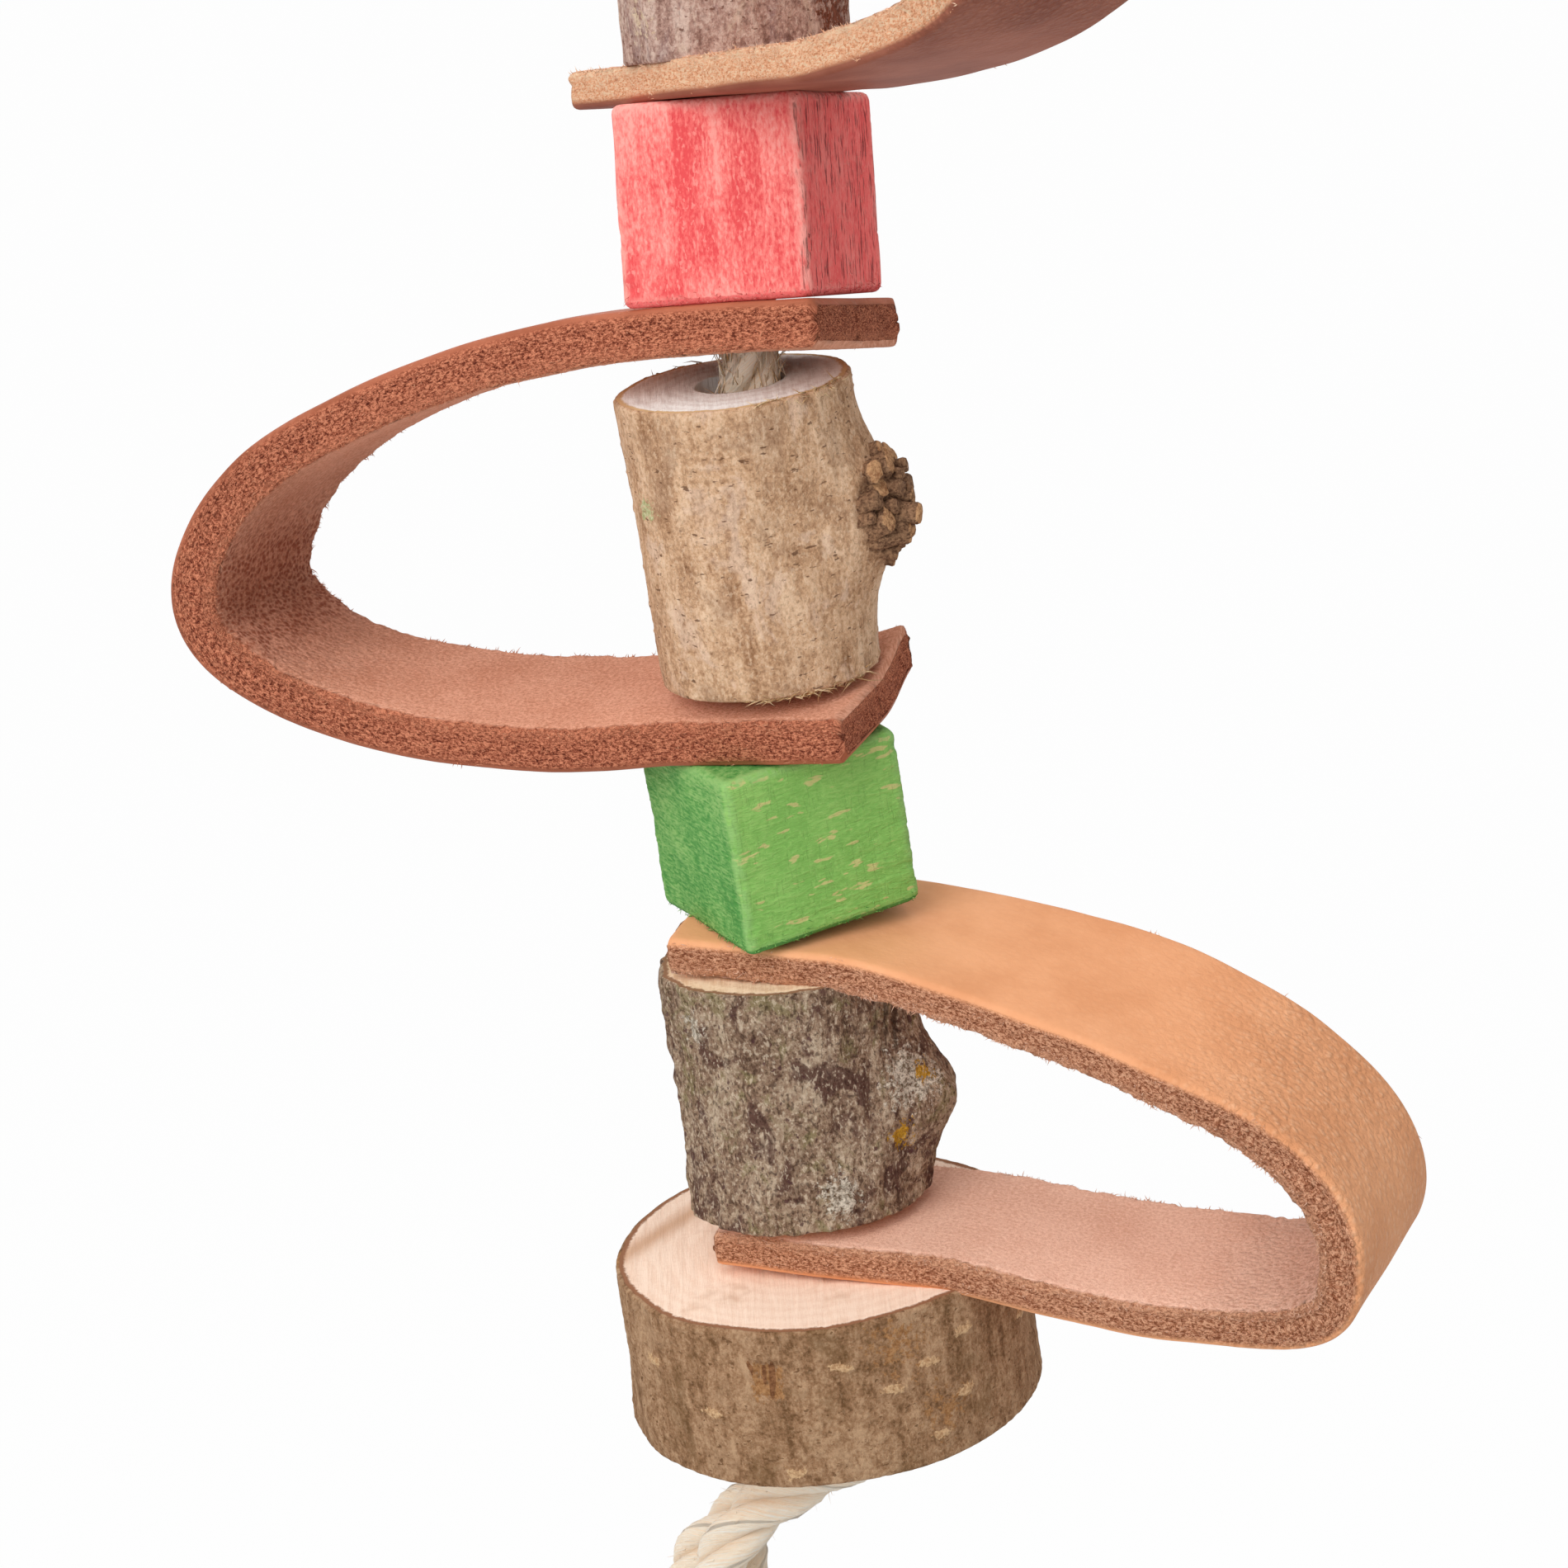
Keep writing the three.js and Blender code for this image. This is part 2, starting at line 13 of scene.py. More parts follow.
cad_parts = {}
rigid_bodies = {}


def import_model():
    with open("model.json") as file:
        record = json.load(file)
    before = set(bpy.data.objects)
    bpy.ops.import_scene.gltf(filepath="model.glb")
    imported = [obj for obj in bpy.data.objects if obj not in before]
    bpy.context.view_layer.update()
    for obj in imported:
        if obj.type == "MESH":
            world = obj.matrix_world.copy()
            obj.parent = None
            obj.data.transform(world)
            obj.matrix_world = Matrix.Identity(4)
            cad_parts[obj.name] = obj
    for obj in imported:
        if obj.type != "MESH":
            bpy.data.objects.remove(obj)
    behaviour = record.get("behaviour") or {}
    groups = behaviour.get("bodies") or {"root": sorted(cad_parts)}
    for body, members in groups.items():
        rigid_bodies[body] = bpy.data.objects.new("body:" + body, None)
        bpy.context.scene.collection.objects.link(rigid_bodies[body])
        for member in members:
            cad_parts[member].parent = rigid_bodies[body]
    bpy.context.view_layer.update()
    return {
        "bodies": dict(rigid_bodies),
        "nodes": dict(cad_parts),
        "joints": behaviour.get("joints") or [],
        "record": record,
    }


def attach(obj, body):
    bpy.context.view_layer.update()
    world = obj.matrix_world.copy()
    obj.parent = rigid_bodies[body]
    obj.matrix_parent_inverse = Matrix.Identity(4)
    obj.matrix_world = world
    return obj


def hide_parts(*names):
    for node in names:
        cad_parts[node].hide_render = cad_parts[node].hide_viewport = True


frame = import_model()
JOINTS = {joint["name"]: joint for joint in frame["joints"]}

MM = 0.001
WELD_DISTANCE = 3e-8
TURN = 2 * math.pi
UP = np.array([0.0, 0.0, 1.0])

# Camera, as the photograph was taken
PHOTO_SIDE = 1900
FOCAL_PIXELS = 5670
SENSOR_WIDTH = 36
CAMERA_RISE = math.radians(14.6)
CAMERA_ROLL = math.radians(3.95)
CAMERA_DISTANCE = 475
VIEW_CENTRE = np.array([-0.4, 0, -184.1])

# Rope and bores
ROPE_DIAMETER = 6
BORE_DIAMETER = 9
ROPE_LAY = 21
STRANDS = 3
STRAND_SIDES = 20
STRAND_SHARE = 0.54
ROPE_STEP = 0.75
ROPE_FIBRES = 1500
MOUTH_FIBRES = 520
END_FIBRES = 160
BALANCE = 2
LINK_WIRE_Z = -36
WRAP_TOP_Z = -51
WRAP_BOTTOM_Z = -69.525
EYE_RADIUS = 5.5
WRAP_RADIUS = 6.9
WRAP_TURNS = 2.25
WRAP_PITCH = 6.9
WRAP_END = 5
KNOT_POINTS = [
    [-31, -2.6, -47], [-30.4, -2.4, -40.5], [-28, -2, -34.5], [-23, -1.6, -31],
    [-17, -1, -29.8], [-12.2, 2, -29], [-10.8, 7.4, -26.6], [-11.4, 10.4, -21.5],
    [-8.2, 10, -15.5], [-3.4, 9.4, -10], [2.6, 8, -6.6], [7, 4, -4.8],
    [7.2, -2, -4.4], [2.6, -6, -4.8], [-4, -7.2, -7.2], [-9.4, -6.8, -10.8],
    [-13, -6.6, -15.6], [-15.8, -7, -21.5], [-18.6, -7.8, -28], [-18.8, -7.2, -34],
    [-18.6, -3.4, -38.8], [-18.5, 2, -38.8], [-18.6, 5.8, -34], [-18.4, 6, -27.5],
    [-16.4, 4.6, -21], [-12, 3.6, -15.8], [-6.6, 2.8, -12], [-2.4, 1.8, -7.6],
]

# Quick link
LINK_WIRE = 4
LINK_SIDE_X = 8
LINK_UPPER_BOW_Z = -6
LINK_LOWER_BOW_Z = -28
LINK_OPENING_Z = -19
LINK_OPENING = 6
SLEEVE_LENGTH = 10
SLEEVE_ACROSS_FLATS = 7
SLEEVE_BORE = 4.6
SLEEVE_SIDES = 6
WIRE_SIDES = 28
WIRE_STEPS = 460
THREAD_DEPTH = 0.16
THREAD_LENGTH = 7
THREAD_PITCH = 0.7
DOME_LENGTH = 0.8

# Leather loops
STRAP_WIDTH = 20.5
STRAP_HALF = STRAP_WIDTH / 2
PUNCH_RADIUS = 4.4
SWELL = 0.9
LINE_SOFTENING = 10
STRAP_STEP = 0.42
STRAP_CORNER = 0.7
BEND_WINDOW = 45
FULL_BEND_RADIUS = 14
HOLE_DIMPLE = 0.9
PULL_FADE = 0.22
END_ROWS = np.array([0.01, 0.25, 0.5, 0.75, 1.0])
EDGE_CLUMPS = 260
INNER_CLUMPS = 640
STRAP_FIBRES = 5200
END_SKIN = 30
TOP_LOOP = {
    "name": "leather_loop_top",
    "span": 35.568,
    "thickness": 3.8,
    "heading": -60,
    "reach": 62,
    "upper": {
        "slope": 4, "cant": -0.7, "lean_from": 1, "lift": 0,
        "tail": 12, "straight": 12, "droop": 0, "handle": 24,
    },
    "bend": {"crest": 21, "twist": 0, "upper_handle": 13, "lower_handle": 12},
    "lower": {"slope": 6.5, "cant": -4.8, "lift": 0, "tail": 16.8, "straight": 10, "droop": 0, "handle": 24},
    "settle": (0, -0.95),
    "pull": (0, 0, 0),
}
MIDDLE_LOOP = {
    "name": "leather_loop_middle",
    "span": 37.775,
    "thickness": 4.9,
    "heading": 155,
    "reach": 61.2,
    "upper": {
        "slope": -3, "cant": -9.8, "lean_from": 0, "lift": 2.6,
        "tail": 12, "straight": 10, "droop": 0, "handle": 18,
    },
    "bend": {"crest": 10.6, "twist": 0, "upper_handle": 17, "lower_handle": 9.6},
    "lower": {"slope": -3.4, "cant": 9, "lift": 1, "tail": 11.8, "straight": 12, "droop": 5.5, "handle": 22},
    "settle": (0, -1.1),
    "pull": (0, 0, 0),
}
LOWER_LOOP = {
    "name": "leather_loop_lower",
    "span": 31.131,
    "thickness": 4,
    "heading": -21.7,
    "reach": 62,
    "upper": {
        "slope": -4.2, "cant": 8.4, "lean_from": 1, "lift": 7,
        "tail": 9.8, "straight": 8, "droop": 0.5, "handle": 22,
    },
    "bend": {"crest": 5.75, "twist": -2, "upper_handle": 15, "lower_handle": 14.5},
    "lower": {"slope": -3, "cant": 6.5, "lift": 5, "tail": 7.5, "straight": 18, "droop": 6.5, "handle": 21},
    "settle": (1.3, 0.45),
    "pull": (2.9, 0.7, 2.8),
}

# Wooden pieces
BRANCH_TOP = {
    "name": "branch_top", "length": 30, "upper": 11.6, "lower": 10.8,
    "off": 0, "oval": 0.2, "mark_radius": 11,
}
BRANCH_MIDDLE = {
    "name": "branch_middle", "length": 29, "upper": 11.8, "lower": 11,
    "off": -0.8, "oval": 0.1, "mark_radius": 11,
}
BRANCH_LOWER = {
    "name": "branch_lower", "length": 25, "upper": 12.9, "lower": 12.4,
    "off": -0.5, "oval": 0.1, "mark_radius": 13,
}
LOG_SLICE = {
    "name": "log_slice", "length": 17.5, "upper": 21.5, "lower": 21.5,
    "off": 0.5, "oval": 0.4, "mark_radius": 21,
}
GROWN = {
    "branch_top": (0, 1.7),
    "cube_red": (-0.3, 0.3),
    "branch_middle": (0, 0.9),
    "cube_green": (-0.5, -0.5),
    "branch_lower": (1.8, 0),
    "log_slice": (0.35, 0),
}
BARK_COLUMNS = 320
SLICE_COLUMNS = 420
SIDE_STEP = 0.26
FACE_STEP = 0.42
KNOB_TALLNESS = 5.5
KNOT_FACING = -15
KNOT_LEVEL = 1.3
KNOT_STUBS = 30
STUB_SIDES = 12
SCAR_FACING = -107
SCAR_LEVEL = 3.4
STAIN_FACING = 139
STAIN_OUT = 16.2

# Bumps on the branches: the way each faces in degrees, height, rise, half breadth in degrees and half height
MIDDLE_BUMPS = [(KNOT_FACING, KNOT_LEVEL, 4.4, 26, KNOB_TALLNESS + 0.8)]
LOWER_BUMPS = [(-12, -2.5, 3.8, 28, KNOB_TALLNESS)]

# Soft spots on the bark: strength, the way each faces in degrees, height and size
# The first two spots, on the right side, are rust made stronger as painted shade on that side.
TOP_RUST_AND_SHADE = [(0.5, -30, -12, 4), (0.52, -10, -4, 6), (0.44, 20, -11, 4), (0.42, 130, 2, 5)]
TOP_LICHEN = [(0.45, -150, -11, 3)]
MIDDLE_GREEN = [(0.62, -152, 4.5, 1.5)]
LOWER_LICHEN = [
    (1, -34, 1, 3.6), (0.92, -77, -9, 2.7), (0.8, -142, 8.4, 1.9), (0.7, 60, -3, 4), (0.7, 150, 4, 4),
]
LOWER_YELLOW = [(0.8, -42, -4.4, 1.7), (0.7, -27, 1.2, 1.4), (0.6, 100, 5, 2)]
SLICE_RUST = [(0.5, -70, 5.5, 4), (0.46, -58, -3, 3.4), (0.48, 30, 0, 4), (0.48, 130, 3, 4)]

# Raised pores of the slice: the way each faces in degrees, and height
LENTICELS = [
    (-86, 4.5), (-72, 1), (-61, 2.7), (-51, -2),
    (-49, 4.6), (-60, -5.5), (-125, -0.7), (-102, -6.9),
    (-147, 3), (-22, 1.5), (8, -3), (41, 4),
    (76, -1), (112, 3), (141, -5), (172, 1),
]

# Cubes
CUBE_SIDE = 19.8
CUBE_HALF = CUBE_SIDE / 2
CUBE_EDGE = 0.9
CUBE_FIBRES = 420
CUBE_STEP = 0.27
CUBE_FACE_ROWS = 36
RED_SPIN = -22.9
GREEN_SPIN = 25.8

# Studio, in metres: each lamp's name, place, size and power
LAMPS = [
    ("key", (-0.55, -0.85, 0.4), 0.8, 8.2),
    ("top", (-0.05, -0.3, 0.95), 0.9, 3.8),
    ("fill", (0.8, -0.6, 0.05), 0.6, 0.12),
    ("back", (-0.3, 0.9, 0.3), 0.6, 2.0),
]
LAMP_AIM = (0, 0, -0.17)
SKY_STRENGTH = 0.56
FLOOR_REACH = 14.0
FLOOR_LEVEL = -0.72
FLOOR_GLOW = 0.97
NEAREST_SEEN = 0.02


# Sums used by every piece


def unit(vectors):
    """Each vector over its own length."""
    return vectors / np.linalg.norm(vectors, axis=-1, keepdims=True)


def ease(low, high, value):
    """0 below low, 1 above high, and the cubic 3t^2 - 2t^3 between them."""
    t = np.clip((value - low) / (high - low), 0, 1)
    return t * t * (3 - 2 * t)


def together(*parts):
    """Arrays of any fitting shapes side by side as the last axis."""
    return np.stack(np.broadcast_arrays(*parts), axis=-1)


def ring_of(count):
    """Angles at even steps round a full turn."""
    return np.linspace(0, TURN, count, endpoint=False)


def level_ways(turn):
    """The level directions out from the axis and round it, at each angle."""
    level = 0 * turn
    return together(np.cos(turn), np.sin(turn), level), together(-np.sin(turn), np.cos(turn), level)


def off_angle(angle, facing):
    """How far an angle is past a direction in degrees, from minus to plus half a turn."""
    return (angle - math.radians(facing) + math.pi) % TURN - math.pi


def arc_lengths(points):
    """The length of a line from its first point to each of its points."""
    return np.concatenate([[0], np.cumsum(np.linalg.norm(np.diff(points, axis=0), axis=1))])


def places_at(even, lengths, points):
    """The places on a line at the given lengths along it."""
    return np.stack([np.interp(even, lengths, points[:, k]) for k in range(3)], axis=-1)


def lattice(cell, seed):
    """A fixed value from 0 to 1 for each whole-number cell: its numbers times primes, mixed by shifts."""
    cell = cell.astype(np.int64)
    mixed = cell[..., 0] * 374761393 + cell[..., 1] * 668265263 + cell[..., 2] * 1442695041
    mixed = mixed + seed * 1013904223
    mixed = mixed & 0xFFFFFFFF
    mixed = ((mixed ^ (mixed >> 13)) * 1274126177) & 0xFFFFFFFF
    return ((mixed ^ (mixed >> 16)) & 0xFFFF) / 0xFFFF


def noise(points, size, seed):
    """Value noise from -1 to 1 with lumps of the given size: the eight corner values of each cell, eased."""
    scaled = points / np.asarray(size, float)
    low = np.floor(scaled)
    part = scaled - low
    part = part * part * (3 - 2 * part)
    total = np.zeros(points.shape[:-1])
    for corner in itertools.product((0, 1), repeat=3):
        weight = np.prod(np.where(corner, part, 1 - part), axis=-1)
        total += weight * lattice(low + corner, seed)
    return 2 * total - 1


def layers(points, size, seed, octaves=4):
    """Noise of halving size and strength, added up."""
    size = np.asarray(size, float)
    return sum(noise(points, size / 2**k, seed + k) / 2**k for k in range(octaves))


def pebbles(points, size, seed):
    """Distance to the nearest of one scattered point per cell, in cells: 0 at a pebble's middle."""
    scaled = points / np.asarray(size, float)
    low = np.floor(scaled)
    nearest = np.full(points.shape[:-1], 9.0)
    for step in itertools.product((-1, 0, 1), repeat=3):
        cell = low + step
        spot = cell + np.stack([lattice(cell, seed + k) for k in range(3)], axis=-1)
        nearest = np.minimum(nearest, np.linalg.norm(spot - scaled, axis=-1))
    return nearest


def rgb(red, green, blue):
    """A colour written as 0 to 255 screen values, made linear."""
    values = np.array([red, green, blue]) / 255
    linear = np.where(values <= 0.04045, values / 12.92, ((values + 0.055) / 1.055) ** 2.4)
    return (*linear.tolist(), 1.0)


# Meshes


def grid_faces(rows, columns, rows_meet=False):
    """Four-cornered faces of a grid of points whose columns join round, and its rows too where they meet."""
    index = np.arange(rows * columns).reshape(rows, columns)
    if rows_meet:
        index = np.vstack([index, index[:1]])
    index = np.hstack([index, index[:, :1]])
    corners = [index[:-1, :-1], index[1:, :-1], index[1:, 1:], index[:-1, 1:]]
    return np.stack(corners, axis=-1).reshape(-1, 4)


def outward(points, faces):
    """The faces, turned over if the volume they close comes out negative."""
    a, b, c = (points[faces[:, k]] for k in (0, 1, 2))
    volume = np.einsum("ij,ij->i", a, np.cross(b, c)).sum()
    if faces.shape[1] == 4:
        d = points[faces[:, 3]]
        volume += np.einsum("ij,ij->i", a, np.cross(c, d)).sum()
    return faces if volume > 0 else faces[:, ::-1]


def tube(line, first, second, ring, radius):
    """Rings of points about a line, on two directions square to it."""
    line, first, second = (way[:, None, :] for way in (line, first, second))
    return line + radius[..., None] * (first * np.cos(ring)[:, None] + second * np.sin(ring)[:, None])


def all_shells(shells, faces):
    """One list of faces for equal grids of points that follow each other, each turned outward."""
    shells = [shell.reshape(-1, 3) for shell in shells]
    return np.concatenate([outward(shell, faces) + k * len(shell) for k, shell in enumerate(shells)])


def piece(name, points, faces, body, slot, finish, stands_for=None, weld=False, **attributes):
    """Makes a mesh object from points in millimetres, with its attributes, material and body. The slot is not
    used.
    """
    points = points.reshape(-1, 3)
    faces = np.ascontiguousarray(outward(points, faces))
    mesh = bpy.data.meshes.new(name)
    mesh.vertices.add(len(points))
    mesh.vertices.foreach_set("co", (points * MM).ravel())
    mesh.loops.add(faces.size)
    mesh.loops.foreach_set("vertex_index", faces.ravel())
    mesh.polygons.add(len(faces))
    mesh.polygons.foreach_set("loop_start", np.arange(0, faces.size, faces.shape[1]))
    mesh.polygons.foreach_set("use_smooth", np.ones(len(faces), bool))
    for key, values in attributes.items():
        values = np.asarray(values, float).reshape(len(points), -1)
        kind, field = ("FLOAT_VECTOR", "vector") if values.shape[1] == 3 else ("FLOAT", "value")
        mesh.attributes.new(key, kind, "POINT").data.foreach_set(field, values.ravel())
    mesh.update(calc_edges=True)
    if weld:
        shell = bmesh.new()
        shell.from_mesh(mesh)
        bmesh.ops.remove_doubles(shell, verts=shell.verts, dist=WELD_DISTANCE)
        shell.to_mesh(mesh)
        shell.free()
    mesh.validate()
    mesh.materials.append(finish)
    thing = bpy.data.objects.new(name, mesh)
    bpy.context.scene.collection.objects.link(thing)
    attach(thing, body)
    if stands_for:
        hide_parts(stands_for)


def fibres(name, roots, leans, lengths, width, body, slot, finish, seed):
    """Fine tapering fibres: a closed three-cornered root, a bent middle at half length, and a point. Each
    leans along its own direction and droops sideways by a random share of its length."""
    draw = np.random.default_rng(seed)
    count = len(roots)
    leans = unit(leans)
    side = unit(np.cross(leans, draw.normal(size=(count, 3))))
    other = np.cross(leans, side)
    lengths = np.asarray(lengths)[:, None]
    droop = side * draw.normal(0, 0.3, (count, 1)) + other * draw.normal(0, 0.3, (count, 1))
    middle = roots + leans * lengths * 0.5 + droop * lengths * 0.25
    tip = roots + leans * lengths * 0.9 + droop * lengths
    corners = [side * math.cos(a) + other * math.sin(a) for a in (0, TURN / 3, 2 * TURN / 3)]
    foot = [roots + corner * width for corner in corners]
    knee = [middle + corner * width * 0.7 for corner in corners]
    points = np.stack([*foot, *knee, tip], axis=1)
    walls = [[i, (i + 1) % 3, 3 + (i + 1) % 3] for i in range(3)]
    walls += [[i, 3 + (i + 1) % 3, 3 + i] for i in range(3)]
    walls += [[3 + i, 3 + (i + 1) % 3, 6] for i in range(3)]
    walls += [[2, 1, 0]]
    faces = (np.arange(count)[:, None, None] * 7 + np.array(walls)).reshape(-1, 3)
    shade = np.repeat(draw.random(count), 7)
    piece(name, points, faces, body, slot, finish, shade=shade)


# Materials


class Finish:
    """A material with one Principled shader, and short calls that add nodes to it."""

    def __init__(self, name, roughness=0.7, **values):
        """Starts a material with its roughness and other fixed inputs of the shader."""
        self.material = bpy.data.materials.new(name)
        self.material.use_nodes = True
        self.tree = self.material.node_tree
        self.shader = self.tree.nodes["Principled BSDF"]
        self.shader.inputs["Roughness"].default_value = roughness
        for key, value in values.items():
            self.shader.inputs[key.replace("_", " ")].default_value = value

    def give(self, socket, value):
        """Links a socket to another node's output, or sets it to a fixed value."""
        if isinstance(value, bpy.types.NodeSocket):
            self.tree.links.new(value, socket)
        else:
            socket.default_value = value

    def add(self, kind, inputs, output=0, **settings):
        """Adds a node of the named kind and returns one of its outputs."""
        node = self.tree.nodes.new("ShaderNode" + kind)
        for key, value in settings.items():
            setattr(node, key, value)
        for key, value in inputs.items():
            self.give(node.inputs[key], value)
        return node.outputs[output]

    def attribute(self, name, output="Fac"):
        """An attribute of the mesh, as a number or a vector."""
        return self.add("Attribute", {}, output, attribute_name=name)

    def stretched(self, vector, sizes):
        """A vector over the given sizes."""
        return self.add("VectorMath", {0: vector, 1: tuple(1 / s for s in sizes)}, operation="MULTIPLY")

    def noise(self, vector, sizes, detail=4.0, rough=0.55, warp=0.0):
        """Noise with lumps of the given sizes."""
        inputs = {"Vector": self.stretched(vector, sizes), "Scale": 1.0, "Detail": detail}
        return self.add("TexNoise", {**inputs, "Roughness": rough, "Distortion": warp})

    def cells(self, vector, sizes):
        """Distance to the nearest of scattered points."""
        inputs = {"Vector": self.stretched(vector, sizes), "Scale": 1.0}
        return self.add("TexVoronoi", inputs, "Distance")

    def calc(self, operation, a, b=0.0):
        """A sum of the named kind on two values."""
        return self.add("Math", {0: a, 1: b}, operation=operation)

    def times(self, a, b):
        """The product of two values."""
        return self.calc("MULTIPLY", a, b)

    def plus(self, a, b):
        """Two values added up."""
        return self.calc("ADD", a, b)

    def weigh(self, a, a_share, b, b_share):
        """Two values added up by their shares."""
        return self.plus(self.times(a, a_share), self.times(b, b_share))

    def between(self, value, low, high, start=0.0, end=1.0):
        """Eases from start to end as a value goes from low to high."""
        inputs = {"Value": value, "From Min": low, "From Max": high, "To Min": start, "To Max": end}
        return self.add("MapRange", inputs, interpolation_type="SMOOTHSTEP")

    def mix(self, share, a, b):
        """Two colours mixed, by the share of the second."""
        return self.add("Mix", {0: share, 6: a, 7: b}, 2, data_type="RGBA")

    def ramp(self, value, *stops):
        """A colour from a value, by stops of position and colour."""
        node = self.tree.nodes.new("ShaderNodeValToRGB")
        elements = node.color_ramp.elements
        while len(elements) < len(stops):
            elements.new(0.5)
        for element, (position, colour) in zip(elements, stops):
            element.position = position
            element.color = colour
        self.give(node.inputs[0], value)
        return node.outputs[0]

    def bump(self, height, depth, below=None):
        """A normal from a height, over another normal if one is given."""
        inputs = {"Height": height, "Distance": depth * MM, "Strength": 1.0}
        if below is not None:
            inputs["Normal"] = below
        return self.add("Bump", inputs)

    def done(self, colour, normal=None, roughness=None):
        """Gives the shader its inputs and returns the material."""
        self.give(self.shader.inputs["Base Color"], colour)
        if normal is not None:
            self.give(self.shader.inputs["Normal"], normal)
        if roughness is not None:
            self.give(self.shader.inputs["Roughness"], roughness)
        return self.material


def sawn_tone(finish, local, depth, grit, tones, rim):
    """A sawn end: faint growth rings about the bore, saw lines, a stain in places and a ragged bark rim."""
    pale, dark, stain = tones
    flat = finish.stretched(local, (1, 1, 1e6))
    reach = finish.add("VectorMath", {0: flat}, "Value", operation="LENGTH")
    wander = finish.noise(local, (5, 5, 5), 3.0, 0.5)
    wavy = finish.plus(reach, finish.times(wander, 2.2))
    rings = finish.calc("SINE", finish.times(wavy, 3.6))
    saw = finish.noise(local, (0.35, 5, 5), 4.0, 0.65)
    grain = finish.weigh(saw, 0.5, grit, 0.5)
    ringed = finish.plus(finish.times(rings, 0.05), grain)
    wood = finish.mix(finish.between(ringed, 0.36, 0.6), dark, pale)
    cloud = finish.noise(local, (6, 6, 6), 3.0, 0.6)
    stained = finish.calc("MAXIMUM", finish.between(cloud, 0.56, 0.74, 0.0, 0.4), finish.attribute("yellow"))
    wood = finish.mix(stained, wood, stain)
    ragged = finish.plus(depth, finish.times(grit, 0.7))
    return finish.mix(finish.between(ragged, 0.65, 1.0), rim, wood), saw


def bark_finish(
    name, tones, specks, patch, dash, lichens, crust, cut, rim, bands, mottle, cloud, dashes, rough
):
    """Bark with soft bands along the branch, mottling and grit, patches, small marks, lichen, a knot's crust
    and sawn ends. The depth attribute is below 0 on bark, and millimetres in from the bark on a sawn end."""
    finish = Finish(name, 0.9, Specular_IOR_Level=0.12)
    local = finish.attribute("local", "Vector")
    depth = finish.attribute("depth")
    band = finish.noise(local, bands, 4.0, 0.55)
    lumps = finish.noise(local, mottle, 5.0, 0.65)
    grit = finish.noise(local, (0.42, 0.42, 0.42), 4.0, 0.75)
    mixed = finish.weigh(band, 0.3, lumps, 0.34)
    mixed = finish.plus(mixed, finish.times(grit, 0.36))
    deep, middle, pale = tones
    tone = finish.ramp(mixed, (0.4, deep), (0.49, middle), (0.58, pale))
    clouds = finish.noise(local, cloud, 4.0, 0.65, 0.6)
    for share, (low, high), colour in patch:
        tone = finish.mix(finish.between(clouds, low, high, 0.0, share), tone, colour)
    fine = finish.noise(local, (0.4, 0.4, 0.6), 2.0, 0.6)
    most, dark, light = specks
    tone = finish.mix(finish.between(fine, 0.45, 0.36, 0.0, most), tone, dark)
    tone = finish.mix(finish.between(fine, 0.56, 0.64, 0.0, most), tone, light)
    marks = finish.noise(local, dashes, 2.0, 0.5)
    mark = finish.between(marks, 0.66, 0.71)
    tone = finish.mix(finish.times(mark, 0.8), tone, dash)
    flecks = finish.noise(local, (0.8, 0.8, 0.8), 5.0, 0.75)
    for key, colours in zip(("lichen", "yellow"), lichens):
        grown = finish.plus(finish.attribute(key), finish.times(flecks, 2.0))
        growth = finish.ramp(grit, (0.4, colours[0]), (0.58, colours[1]))
        tone = finish.mix(finish.between(grown, 1.4, 1.46, 0.0, 0.95), tone, growth)
    knot = finish.attribute("knot")
    crusty = finish.ramp(grit, (0.4, crust[0]), (0.6, crust[1]))
    tone = finish.mix(finish.between(knot, 0.25, 0.5), tone, crusty)
    wood, saw = sawn_tone(finish, local, depth, grit, cut, rim)
    is_cut = finish.between(depth, -0.3, 0.0)
    colour = finish.mix(is_cut, tone, wood)
    relief = finish.weigh(mixed, 1.4, flecks, 0.5)
    bark_only = finish.times(relief, finish.calc("SUBTRACT", 1.0, is_cut))
    normal = finish.bump(bark_only, 0.55 * rough)
    normal = finish.bump(finish.times(saw, is_cut), 0.1, normal)
    return finish.done(colour, normal)


